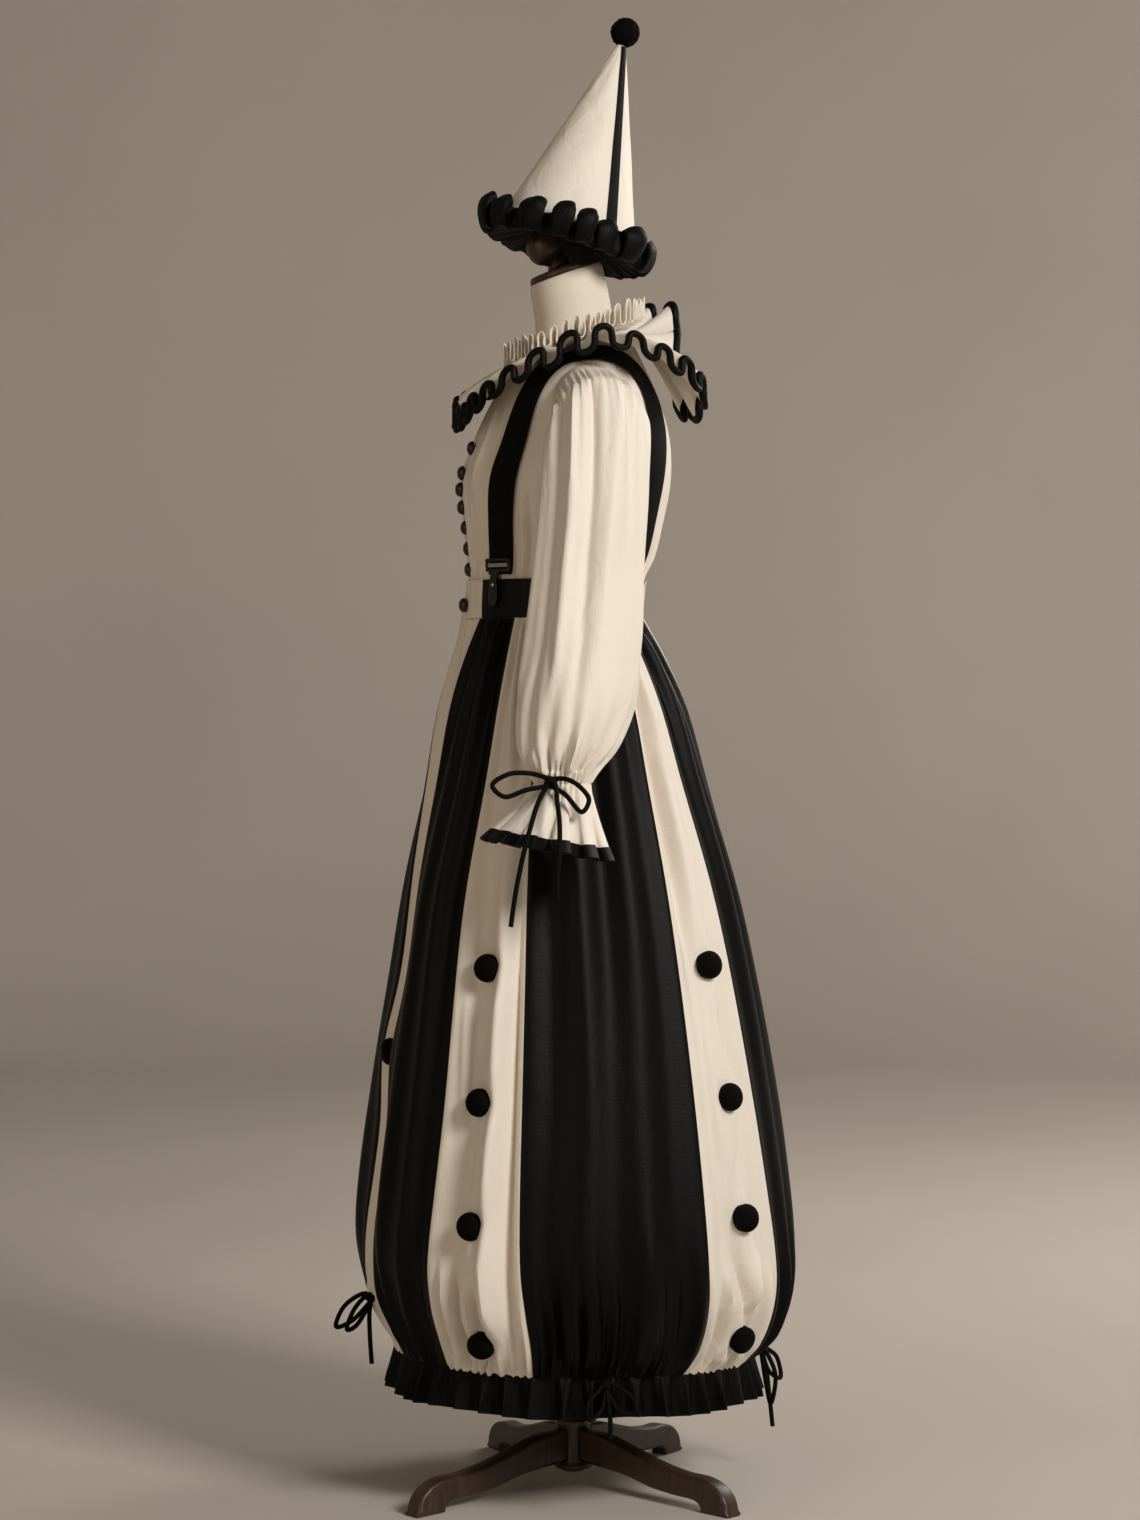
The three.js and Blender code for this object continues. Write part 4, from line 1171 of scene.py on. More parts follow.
PANELS = (
    Panel("front_black", QUARTER_FRONT, FRONT, 3, True, 11, FRONT_BLACK),
    Panel("front_dotted", SIDE_FRONT, QUARTER_FRONT, 2, False, 12, FRONT_DOTTED, dots=True),
    Panel("side_black", SIDE_BACK, SIDE_FRONT, 3, True, 13, SIDE_BLACK),
    Panel("back_dotted", SIDE_BACK, QUARTER_BACK, 2, False, 14, BACK_DOTTED, dots=True),
    Panel("back_black", QUARTER_BACK, BACK, 3, True, 15, BACK_BLACK),
    Panel("front_cream", FRONT, FRONT, 2, False, 16, (), centre=True),
    Panel("back_cream", BACK, BACK, 2, False, 17, BACK_CREAM, centre=True),
)


def section_point(section: np.ndarray, angle: np.ndarray, level: np.ndarray,
                  out: np.ndarray = 0.0) -> np.ndarray:
    """A point of an oval section.

    Args:
        section: Middle along Y, half width and half depth, along the last axis.
        angle: Body angle in degrees.
        level: Height.
        out: Distance to move out.

    Returns:
        The points.
    """
    a = np.radians(angle)
    x = (section[..., 1] + out) * np.cos(a)
    y = section[..., 0] - (section[..., 2] + out) * np.sin(a)
    return stacked(x, y, np.asarray(level, float))


def hem_drop(angle: np.ndarray) -> np.ndarray:
    """Return how far the hem hangs lower than at the front, in millimetres."""
    return 13.0 * bell(wrapped(angle + 90), 60)


@dataclass
class Skirt(Assembly):
    """Twelve gathered panels, their domed dots, and the pleated ruffle under the hem."""

    spacing: float = 2.7
    seam_gap: float = 0.3
    waist_gather: float = 3.0
    hem_gather: float = 6.0
    dot_radius: float = 17.8
    dot_height: float = 15.0
    ruffle_top: float = 184.0
    ruffle_bottom: float = 131.0

    def levels(self) -> np.ndarray:
        """Return the levels of the rows, closer together at the waist and the hem."""
        return np.concatenate([np.linspace(SKIRT_TOP, 1050, 20), np.linspace(1030, 330, 30),
                               np.linspace(316, HEM_LEVEL, 34)])

    def angles(self, panel: Panel, level: np.ndarray) -> tuple[np.ndarray, np.ndarray]:
        """Body angles of a panel's two seams.

        Args:
            panel: The panel.
            level: The levels.

        Returns:
            The angles at its start and at its stop.
        """
        seams = SEAMS(level)
        start, stop = seams[..., panel.start], seams[..., panel.stop]
        if panel.centre:
            stop = 180 - start if panel.start == FRONT else -180 - start
        return start, stop

    def surface(self, panel: Panel) -> Surface:
        """Middle surface of a panel.

        Args:
            panel: The panel.

        Returns:
            Points from shares across the panel and levels.
        """
        def at(t: np.ndarray, level: np.ndarray) -> np.ndarray:
            """Points of the panel.

            Args:
                t: Shares across it.
                level: Levels.

            Returns:
                The points.
            """
            row = SKIRT(level)
            start, stop = self.angles(panel, level)
            radius = row[..., 1] * np.pi / 180
            width = np.abs(stop - start) * radius
            t = t + (1 - 2 * t) * self.seam_gap / 2 / width
            angle = mix(start, stop, t)
            hang = 1 + 0.65 * (1 - bell(level - 566, 70) - bell(level - 250, 40))
            front = bell(angle - 90, 11) * row[..., 4] * hang
            rear = bell(np.abs(wrapped(angle + 90)), 11) * row[..., 4] * 0.4
            wave = row[..., 3] * np.cos(2 * np.pi * panel.gathers * t)
            edge = np.minimum(t, 1 - t) * width
            inside = ease(edge / 12)
            small = self._gathers(panel, t, level) * (0.25 + 0.75 * inside)
            laid = folded(panel.folds, t, level, width) * inside * (1.0 if panel.black else 1.6)
            if panel.dots:
                for z in DOT_LEVELS:
                    flat = 1 - 0.9 * bell((t - 0.5) * width, 21) * bell(level - z, 21)
                    laid, small = laid * flat, small * flat
            seam = -0.9 * bell(edge, 2.6)
            low = hem_drop(angle) * ease((300 - level) / 110) + 0.3 * small * bell(level - HEM_LEVEL, 7)
            flush = 0.25 + 0.75 * ease((level - HEM_LEVEL) / 9)
            out = flush * (wave - front - rear + small + laid) + seam
            return section_point(row[..., :3], angle, level - low, out)
        return at

    def _gathers(self, panel: Panel, t: np.ndarray, level: np.ndarray) -> np.ndarray:
        """Height of the small gathers that thread pulls in at the waist and the hem.

        Args:
            panel: The panel.
            t: Shares across it.
            level: Levels.

        Returns:
            Height in millimetres.
        """
        start, stop = self.angles(panel, np.array(SKIRT_TOP))
        waist = abs(float(stop - start)) * WAIST_RADIUS * np.pi / 180
        start, stop = self.angles(panel, np.array(HEM_LEVEL))
        hem = abs(float(stop - start)) * HEM_RADIUS * np.pi / 180
        high = np.clip((SKIRT_TOP - level) / 1.0, 0, None)
        low = np.clip(level - HEM_LEVEL, 0, None)
        fine = puckers(t * waist, 9, panel.seed) * np.exp(-high / 55)
        long = puckers(t * waist, 21, panel.seed + 40) * bell(high - 40, 70)
        tucks = puckers(t * hem, 13, panel.seed + 80) * np.exp(-low / 48)
        swell = puckers(t * hem, 31, panel.seed + 120) * ease(low / 30) * bell(low - 45, 70)
        hem_gather = self.hem_gather * (1.0 if panel.black else 1.4)
        return self.waist_gather * (0.7 * fine + 0.8 * long) + hem_gather * (0.9 * tucks + 1.25 * swell)

    def build(self) -> None:
        """Make the panels, the dots and the ruffle."""
        for panel in PANELS:
            for name, side in SIDES:
                if panel.centre:
                    if side > 0:
                        self._panel(panel, f"skirt_{panel.node}", 1)
                else:
                    self._panel(panel, f"skirt_{panel.node}_{name}", side)
        self._front_dome()
        self._ruffle()

    def _panel(self, panel: Panel, node: str, side: int) -> None:
        """Make one panel, with its dots.

        Args:
            panel: The panel.
            node: Its CAD node.
            side: 1 for the left half, -1 for its mirror.
        """
        start, stop = self.angles(panel, np.array(320.0))
        width = abs(float(stop - start)) * WIDEST_RADIUS * math.pi / 180
        columns = int(width / self.spacing) + 1
        at = self.surface(panel)
        t, level = np.meshgrid(np.linspace(0, 1, columns), self.levels())
        cloth = Cloth(node + "_cloth", self.placing.move(at(t, level), side))
        piece = cloth.build()
        self.dress_sateen(piece, panel.black, node)
        dots = [self._dot(f"{node}_dot_{k}", at, z, side) for k, z in enumerate(DOT_LEVELS, 1)] \
            if panel.dots else []

    def _dot(self, name: str, at: Surface, level: float, side: int) -> bpy.types.Object:
        """Make one felt-covered dome on a panel.

        Args:
            name: Its name.
            at: The panel's surface.
            level: Its level.
            side: 1 for the left half, -1 for its mirror.

        Returns:
            The piece.
        """
        t = np.array([0.5, 0.47, 0.53, 0.5, 0.5])
        z = np.array([0, 0, 0, -12.0, 12.0]) + level
        place, before, after, under, over = self.placing.move(at(t, z), side)
        normal = np.cross(after - before, over - under)
        normal = normal / np.linalg.norm(normal)
        if normal @ (place - (0, self.placing.shift, place[2])) < 0:
            normal = -normal
        return self._dome(name, place + 2.5 * normal, normal)

    def _dome(self, name: str, place: np.ndarray, normal: np.ndarray) -> bpy.types.Object:
        """Make one dome.

        Args:
            name: Its name.
            place: The middle of its base.
            normal: The way it stands.

        Returns:
            The piece.
        """
        r, h = self.dot_radius, self.dot_height
        side = [(r * (1 - 0.04 * (1 - s)), h * 0.16 * s) for s in (0.0, 0.5, 1.0)]
        crown = [(r * math.cos(a) ** 0.62, h * (0.16 + 0.84 * math.sin(a)))
                 for a in np.linspace(0.1, 1.56, 14)]
        points, faces = turned(np.array([(0, -5), (r * 0.94, -5), *side, *crown, (0, h)]), 40)
        piece = new_mesh(name, standing(points, place, normal), faces, 70.0)
        return self.dress(piece, self.finishes.felt, "black_pompom")

    def _front_dome(self) -> None:
        """Make the dome at centre front."""
        panel = next(p for p in PANELS if p.node == "front_cream")
        place = self.placing.move(self.surface(panel)(np.array([0.5]), np.array([566.0])))[0]
        piece = self._dome("skirt_front_dome", place - (0, 1.6, 0), np.array((0, -1.0, 0)))
        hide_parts("skirt_front_pompom")

    def _ruffle(self) -> None:
        """Make the pleated ruffle under the hem seam."""
        columns = 1320
        angle = np.arange(columns) / columns * 360
        drop = np.concatenate([np.linspace(0, 0.25, 6), np.linspace(0.33, 1, 9)])
        angle, drop = np.meshgrid(angle, drop)
        pleat = ring_folds(angle, 44, 31)
        lean = ring_folds(angle + 1.7, 44, 31)
        depth = mix(2.4, 12.5, drop ** 0.8)
        start = ease(drop / 0.1)
        out = mix(-2.4, 5.0, drop) + start * (depth * pleat + 1.6 * (1 - drop) * ring_folds(angle, 131, 32))
        level = mix(self.ruffle_top, self.ruffle_bottom, drop) + drop * (
            2.0 * cosd(angle * 7 + 20) + 2.2 * pleat) - hem_drop(angle)
        turn = angle + 1.3 * drop * lean
        row = SKIRT(np.full(angle.shape, HEM_LEVEL))
        grid = self.placing.move(section_point(row[..., :3], turn, level, out))
        cloth = Cloth("hem_ruffle_cloth", grid, closed=True)
        piece = self.dress(cloth.build(), self.finishes.trim, "black_cloth", "hem_ruffle")


def ring_folds(angle: np.ndarray, count: int, seed: int) -> np.ndarray:
    """Uneven folds all round a ring, which meet themselves.

    Args:
        angle: Body angle in degrees.
        count: Folds in a whole turn.
        seed: Which pattern.

    Returns:
        Height from about -1 to 1.
    """
    rng = np.random.default_rng(seed)
    a, b, c = rng.uniform(0, 2 * np.pi, 3)
    turn = np.radians(angle)
    phase = count * turn + 0.9 * np.sin(max(2, count // 4) * turn + a)
    phase = phase + 0.7 * np.sin(max(1, count // 9) * turn + b)
    height = 0.82 + 0.2 * np.sin(max(3, count // 3) * turn + c)
    return height * np.cos(phase)


# Blouse

SHIRT = Table([
    [1142, -25, 128, 109],
    [1176, -22, 129, 111],
    [1205, -16, 134, 119],
    [1240, -13, 141, 126],
    [1300, -9, 150, 135],
    [1350, -1, 155, 125],
    [1390, 2, 154, 112],
    [1418, 3, 148, 100],
    [1440, 3, 130, 90],
    [1455, 2, 106, 79],
    [1466, 0, 84, 69],
    [NECK_LEVEL, -1, 64, 60],
])
TILT_START = 1440.0

# Sections of the sleeve from the armhole edge, at 0, to the wrist, at 9: place along, middle in X, Y and Z,
# half width, half depth, rise of its outer side, depth of gathers
SLEEVE = Table([
    [0, 160, -4, 1381, 10, 52, 60, 0],
    [1, 190, -8, 1366, 30, 57, 50, 3],
    [2, 209, -12, 1332, 45, 62, 28, 2.5],
    [3, 221, -18, 1265, 53, 63, 8, 1],
    [4, 231, -27, 1180, 56, 64, 2, 1],
    [5, 246, -37, 1085, 63, 69, 0, 2],
    [6, 256, -47, 1020, 64, 72, 0, 2.5],
    [7, 264, -59, 967, 55, 60, 0, 3],
    [8, 270, -67, 936, 40, 43, 0, 3],
    [9, 272, -69, 918, 32, 33, 0, 2],
])
# Folds of the sleeve, from (angle round the arm, place along it): 90 degrees is its front, -90 its back
SLEEVE_FOLDS = (
    Fold((56, 0.8), (62, 7.4), -4.5, 9, 12, 0.12, 0.2),
    Fold((33, 0.8), (38, 6.4), 4.5, 10, 9, 0.12, 0.3),
    Fold((12, 0.9), (14, 6.6), -4.5, 11, 12, 0.12, 0.35),
    Fold((-14, 1.0), (-6, 5.4), 3.0, 14, 12, 0.2, 0.4),
    Fold((-38, 1.4), (-34, 4.8), -2.4, 12, 14, 0.3, 0.5),
    Fold((-66, 0.9), (-60, 6.0), 3.5, 14, 12, 0.15, 0.3),
    Fold((-92, 1.0), (-96, 6.4), -4.0, 12, 12, 0.15, 0.3),
    Fold((84, 0.9), (90, 6.8), 4.0, 12, 12, 0.15, 0.3),
    Fold((118, 1.0), (112, 6.6), -4.0, 12, 12, 0.15, 0.3),
    Fold((150, 1.0), (156, 6.0), 4.0, 14, 14, 0.2, 0.3),
    Fold((-128, 1.0), (-134, 6.6), 4.0, 12, 14, 0.2, 0.3),
    Fold((-160, 1.0), (-158, 6.0), -4.0, 14, 12, 0.2, 0.3),
    Fold((24, 6.1), (17, 8.3), -3.6, 6, 7, 0.6, 0.1),
    Fold((2, 6.3), (2, 8.3), 2.6, 6, 6, 0.6, 0.1),
    Fold((44, 6.2), (33, 8.3), -3.0, 6, 7, 0.6, 0.1),
    Fold((-22, 6.4), (-15, 8.3), -3.0, 7, 6, 0.6, 0.1),
    Fold((66, 6.4), (50, 8.3), 2.8, 6, 6, 0.6, 0.1),
    Fold((20, 3.2), (36, 4.5), -1.2, 6, 8, 0.5, 0.5),
    Fold((2, 4.2), (26, 5.4), 1.1, 7, 7, 0.5, 0.5),
    Fold((52, 4.4), (38, 5.8), -1.3, 7, 7, 0.5, 0.5),
)
# Folds of the blouse body, from (body angle, level)
SHIRT_FOLDS = (
    Fold((64, 1440), (58, 1210), -3.0, 9, 12, 0.3, 0.5),
    Fold((76, 1420), (72, 1240), 2.4, 8, 8, 0.4, 0.5),
    Fold((36, 1300), (34, 1180), 2.4, 8, 8, 0.5, 0.1),
    Fold((18, 1290), (24, 1180), -2.8, 9, 9, 0.5, 0.1),
    Fold((84, 1330), (82, 1180), -1.8, 5, 5, 0.4, 0.1),
    Fold((-30, 1400), (-40, 1180), -3.0, 12, 12, 0.4, 0.1),
    Fold((-58, 1420), (-54, 1190), 2.6, 12, 12, 0.4, 0.2),
    Fold((-78, 1430), (-74, 1180), -2.8, 12, 12, 0.3, 0.1),
)

ARMHOLE = (-4.0, 1381.0, 46.0, 56.0)
ARMHOLE_LAP = 5.0
WRIST = np.array((272.0, -69.0, 917.4))
CUFF_END = np.array((296.0, -93.0, 836.0))

COLLAR_EDGE = Table([
    [-180, 190, 1466],
    [-156, 178, 1500],
    [-134, 176, 1534],
    [-118, 178, 1534],
    [-107, 160, 1488],
    [-96, 140, 1430],
    [-82, 150, 1392],
    [-64, 176, 1402],
    [-48, 186, 1424],
    [-28, 188, 1448],
    [0, 192, 1470],
    [30, 181, 1434],
    [60, 163, 1396],
    [90, 150, 1378],
    [120, 163, 1396],
    [150, 180, 1430],
    [180, 190, 1466],
])


def neck_tilt(points: np.ndarray, level: np.ndarray) -> np.ndarray:
    """Tip the neck edge down at the front.

    Args:
        points: Points of the blouse.
        level: Their levels before the tilt.

    Returns:
        The moved points.
    """
    points = points.copy()
    points[..., 2] += ease((level - TILT_START) / (NECK_LEVEL - TILT_START)) * points[..., 1] * NECK_TILT
    return points


def shirt_point(angle: np.ndarray, level: np.ndarray, out: np.ndarray = 0.0) -> np.ndarray:
    """Point of the blouse without its folds.

    Args:
        angle: Body angle in degrees.
        level: Level.
        out: Distance to move out.

    Returns:
        The points.
    """
    return neck_tilt(section_point(SHIRT(level), angle, level, out), np.asarray(level, float))


def shirt_folds(angle: np.ndarray, level: np.ndarray) -> np.ndarray:
    """Height of the blouse's folds and gathers.

    Args:
        angle: Body angle in degrees.
        level: Level.

    Returns:
        Height in millimetres.
    """
    side = np.where(np.abs(wrapped(angle)) > 90, 180 - wrapped(angle), wrapped(angle))
    side = wrapped(side)
    unit = np.full(np.shape(level), 2.4)
    mirrored = np.abs(wrapped(angle)) > 90
    laid = 1.6 * folded(SHIRT_FOLDS, side, level, unit * 1.2)
    arc = np.radians(wrapped(angle)) * BODY_RADIUS
    waist = puckers(arc, 8.5, 51) * bell(level - 1176, 40) * 2.1
    blouse = puckers(arc + 7.0 * mirrored, 19, 52) * bell(level - 1220, 52) * 2.8
    neck = puckers(arc * 1.3, 8, 53) * ease((level - 1425) / 25) * 1.4
    placket = 1.1 * np.exp(-((np.radians(angle - 90) * BODY_RADIUS / 10.5) ** 8))
    return laid + waist + blouse + neck + placket


def spread_rows(*spans: tuple[float, float, int]) -> np.ndarray:
    """Return rows from several spans, each with its first and last place and its number of steps."""
    rows = [np.linspace(a, b, n, endpoint=False) for a, b, n in spans]
    return np.concatenate([*rows, [spans[-1][1]]])


@dataclass
class Blouse(Assembly):
    """The blouse body with its buttons, the bishop sleeves and the cuff flounces."""

    columns_per_turn: int = 300
    sleeve_columns: int = 152
    flounce_waves: int = 11
    button_levels: tuple = (1343, 1311, 1290, 1267, 1241, 1214, 1187)

    def build(self) -> None:
        """Make every piece of the blouse."""
        for name, first, last in (("blouse_front_left", 0, 90), ("blouse_front_right", 90, 180),
                                  ("blouse_back", -180, 0)):
            self._body(name, first, last)
        for name, side in SIDES:
            self._sleeve(name, side)
            self._flounce(name, side)
        for number, level in enumerate(self.button_levels, 1):
            self._button(f"blouse_button_{number}", level, 0.9)
        self._button("waistband_button", 1141, 6.4)

    def _body(self, name: str, first: float, last: float) -> None:
        """Make one piece of the blouse body, open at the armholes.

        Args:
            name: Its CAD node.
            first: Body angle where it starts.
            last: Body angle where it ends.
        """
        count = int(self.columns_per_turn * (last - first) / 360) + 1
        rows = spread_rows((1142, 1260, 23), (1260, 1430, 18), (1430, NECK_LEVEL, 14))
        angle, level = np.meshgrid(np.linspace(first + SEAM_HALF_GAP, last - SEAM_HALF_GAP, count), rows)
        grid = shirt_point(angle, level, shirt_folds(angle, level))
        centre_y, centre_z, half_y, half_z = ARMHOLE
        hole = ((grid[..., 1] - centre_y) / half_y) ** 2 + ((grid[..., 2] - centre_z) / half_z) ** 2 < 1
        cloth = Cloth(name + "_cloth", self.placing.move(grid), holes=hole & (np.abs(grid[..., 0]) > 60))
        piece = self.dress(cloth.build(), self.finishes.cream, "cream_cloth", name)

    def sleeve_point(self, angle: np.ndarray, at: np.ndarray) -> np.ndarray:
        """Point of a sleeve, with its folds.

        Args:
            angle: Angle round the arm in degrees.
            at: Place along it, from 0 to 9.

        Returns:
            The points.
        """
        c, s = cosd(angle), sind(angle)
        row = SLEEVE(np.maximum(at, 1))
        unit = row[..., 4] * np.pi / 180
        laid = 1.7 * folded(SLEEVE_FOLDS, wrapped(angle), at, unit * 1.3)
        head = ring_folds(angle, 40, 61) * bell(at - 0.7, 0.8) * 2.6
        head = head + ring_folds(angle, 19, 62) * bell(at - 1.7, 1.1) * 2.8
        wrist = ring_folds(angle, 32, 63) * ease((at - 6.8) / 1.3) * 3.4
        wrist = wrist + ring_folds(angle, 15, 64) * bell(at - 7.1, 0.9) * 5.0
        out = laid * ease(at / 1.2) + wrist + np.where(at >= 1, head, 0)
        arm = stacked(row[..., 0] + (row[..., 3] + out) * c, row[..., 1] - (row[..., 4] + out) * s,
                      row[..., 2] + row[..., 5] * c)
        y = ARMHOLE[0] - (ARMHOLE[2] + ARMHOLE_LAP) * s
        z = ARMHOLE[1] + (ARMHOLE[3] + ARMHOLE_LAP) * c
        section = SHIRT(z)
        across = np.minimum(0.98, np.abs((y - section[..., 0]) / section[..., 2]))
        x = section[..., 1] * np.sqrt(1 - across ** 2) + 3.3 + 1.2 * bell(z - 1440, 12)
        edge = stacked(x, y, z)
        rise = np.clip(at, 0, 1)[..., None]
        seam = mix(edge, arm, rise)
        push = np.where(at < 1, head * np.clip(at * 1.6, 0, 1), 0)[..., None]
        return seam + push * stacked(c, -s * 0.6, c * 0.5)

    def _sleeve(self, name: str, side: int) -> None:
        """Make one sleeve.

        Args:
            name: left or right.
            side: 1 or -1.
        """
        angle = np.arange(self.sleeve_columns) / self.sleeve_columns * 360
        rows = spread_rows((0, 1, 9), (1, 2, 8), (2, 5, 24), (5, 7, 22), (7, 9, 24))
        angle, at = np.meshgrid(angle, rows)
        grid = self.placing.move(self.sleeve_point(angle, at), side)
        cloth = Cloth(f"sleeve_{name}_cloth", grid, closed=True)
        piece = self.dress(cloth.build(), self.finishes.cream, "cream_cloth", f"sleeve_{name}")

    def flounce_point(self, angle: np.ndarray, v: np.ndarray, side: int) -> np.ndarray:
        """Point of a cuff flounce. The right one hangs straighter.

        Args:
            angle: Angle round the arm in degrees.
            v: Share of the way from the wrist to the edge.
            side: 1 for the left, -1 for the right.

        Returns:
            The points.
        """
        aim = np.array((0.0, -0.17, -0.985))
        down = mix(np.array((0, 0, -1.0)), aim, ease(v)[..., None])
        down = down / np.linalg.norm(down, axis=-1, keepdims=True)
        outward = np.array((1.0, 0, 0)) - down * down[..., :1]
        outward = outward / np.linalg.norm(outward, axis=-1, keepdims=True)
        forward = -np.cross(outward, down)
        share = np.clip(v, 0, 1)
        phase = np.radians(angle * self.flounce_waves)
        wave = 8.6 * share * np.cos(phase + 0.5 * sind(3 * angle))
        wave = wave * (1 + 0.22 * sind(2 * angle + 40))
        pinch = ring_folds(angle, 33, 71) * 2.6 * bell(v - 0.04, 0.34)
        radius = mix(32, 74, share ** 1.2) + wave + pinch
        a = np.radians(angle + 4.5 * share * sind(2 * angle * self.flounce_waves))
        centre = mix(WRIST, CUFF_END + ((0, 0, 0) if side > 0 else (0, 16, 0)), v[..., None])
        dip = 1.6 * share * np.cos(phase + 2.2)
        point = centre + outward * (radius * np.cos(a))[..., None]
        point = point - forward * (radius * np.sin(a))[..., None]
        return point + down * dip[..., None]

    def _flounce(self, name: str, side: int) -> None:
        """Make one cuff flounce and its binding.

        Args:
            name: left or right.
            side: 1 or -1.
        """
        angle = np.arange(242) / 242 * 360
        ring, rows = np.meshgrid(angle, spread_rows((0.0, 0.25, 12), (0.25, 0.85, 16)))
        grid = self.placing.move(self.flounce_point(ring, rows, side), side)
        cloth = Cloth(f"cuff_flounce_{name}_cloth", grid, closed=True)
        flounce = self.dress(cloth.build(), self.finishes.cream, "cream_cloth", f"cuff_flounce_{name}")
        ring, rows = np.meshgrid(angle, np.linspace(0.83, 1, 7))
        grid = self.placing.move(self.flounce_point(ring, rows, side), side)
        binding = Cloth(f"cuff_binding_{name}_cloth", grid, closed=True, thickness=3.4).build()
        self.dress(binding, self.finishes.trim, "black_cloth", f"cuff_binding_{name}")

    def _button(self, name: str, level: float, out: float) -> None:
        """Make one domed button.

        Args:
            name: Its CAD node.
            level: Its level.
            out: How far its base stands off the blouse.
        """
        angle, place = np.array([90.0]), np.array([float(level)])
        point = self.placing.move(shirt_point(angle, place, shirt_folds(angle, place)))[0]
        outline = np.array([(0, -2), (4, -2), (4, 0), (9, 0.2), (9.6, 1.4), (9.3, 3.4), (7.8, 6.2),
                            (4.8, 8.2), (0, 9)])
        points, faces = turned(outline, 32)
        points = standing(points, point - (0, out, 0), np.array((0, -1.0, 0)))
        piece = new_mesh(name + "_dome", points, faces, 50.0)
        self.dress(piece, self.finishes.button, "black_button", name)


@dataclass
class Collar(Assembly):
    """The ruff collar, one wavy circle with a rolled binding, and the gathered frill above it."""

    waves: int = 27
    wave_depth: float = 13.0
    rise: float = 2.4
    columns: int = 864
    frill_folds: int = 38

    def point(self, angle: np.ndarray, v: np.ndarray) -> np.ndarray:
        """Point of the collar.

        Args:
            angle: Body angle in degrees.
            v: Share of the way from the neck to the edge.

        Returns:
            The points.
        """
        phase = np.radians(angle * self.waves)
        uneven = 1 + 0.14 * sind(4 * angle + 30) + 0.1 * sind(7 * angle)
        size = v ** 1.6 * uneven
        swing = np.cos(phase)
        turn = angle + 1.0 * size * np.sin(2 * phase)
        base = shirt_point(turn, np.full(np.shape(turn), NECK_LEVEL))
        edge = COLLAR_EDGE(wrapped(turn))
        a = np.radians(turn)
        x = mix(base[..., 0], edge[..., 0] * np.cos(a), v)
        y = mix(base[..., 1], -edge[..., 0] * np.sin(a), v)
        z = mix(base[..., 2] + self.rise, edge[..., 1], np.maximum(v, 0) ** 1.8)
        z = z + self.wave_depth * size * swing
        pinch = ring_folds(angle, 63, 81) * 1.6 * bell(v - 0.08, 0.22)
        return stacked(x, y, z + pinch)

    def build(self) -> None:
        """Make the collar, its binding and the frill."""
        angle = np.arange(self.columns) / self.columns * 360 - 180
        ring, rows = np.meshgrid(angle, spread_rows((0.01, 0.3, 7), (0.3, 0.965, 17)))
        cloth = Cloth("ruff_collar_cloth", self.placing.move(self.point(ring, rows)), closed=True)
        collar = self.dress(cloth.build(), self.finishes.cream, "cream_cloth", "ruff_collar")
        binding = self._binding(angle)
        self.dress(binding, self.finishes.trim, "black_cloth", "ruff_collar_binding")
        self._frill()

    def _binding(self, angle: np.ndarray) -> bpy.types.Object:
        """Make the rolled binding round the collar's edge.

        Args:
            angle: Body angles of its columns.

        Returns:
            The piece.
        """
        inner = self.point(angle, np.full(angle.shape, 0.95))
        outer = self.point(angle, np.ones(angle.shape))
        along = np.roll(outer, -1, 0) - np.roll(outer, 1, 0)
        along = along / np.linalg.norm(along, axis=1, keepdims=True)
        reach = outer - inner
        reach = reach - (reach * along).sum(1, keepdims=True) * along
        reach = reach / np.linalg.norm(reach, axis=1, keepdims=True)
        face = np.cross(along, reach)
        rim = np.linspace(0, 2 * np.pi, 13)[:-1]
        middle = outer - reach * 3.4
        rows = [middle + reach * 5.6 * math.cos(a) + face * 4.4 * math.sin(a) for a in rim]
        grid = self.placing.move(np.stack(rows))
        return new_mesh("ruff_collar_binding_roll", grid.reshape(-1, 3), ring_faces(*grid.shape[:2]), 70.0)

    def _frill(self) -> None:
        """Make the gathered frill."""
        angle = np.arange(800) / 800 * 360
        ring, v = np.meshgrid(angle, spread_rows((0, 0.3, 5), (0.3, 1, 11)))
        phase = np.radians(ring * self.frill_folds) + 0.7 * sind(5 * ring)
        turn = ring + 1.3 * v * np.sin(2 * phase)
        radius = mix(55, 91, v ** 0.85) + 2.5 * v * cosd(9 * ring)
        x, y = radius * cosd(turn), -radius * sind(turn)
        lift = 13 * v ** 0.7 * np.cos(phase) * (1 + 0.2 * sind(7 * ring))
        level = NECK_LEVEL + 6 + 17 * v + y * NECK_TILT + lift
        grid = self.placing.move(stacked(x, y, level))
        cloth = Cloth("neck_frill_cloth", grid, closed=True, thickness=1.2)
        piece = self.dress(cloth.build(), self.finishes.cream, "cream_cloth", "neck_frill")


# Waistband, braces and form

STRAP = Table([
    [0, 80],
    [0.12, 90],
    [0.25, 102],
    [0.4, 103],
    [0.5, 106],
    [0.6, 110],
    [0.8, 113],
    [1, 98],
])


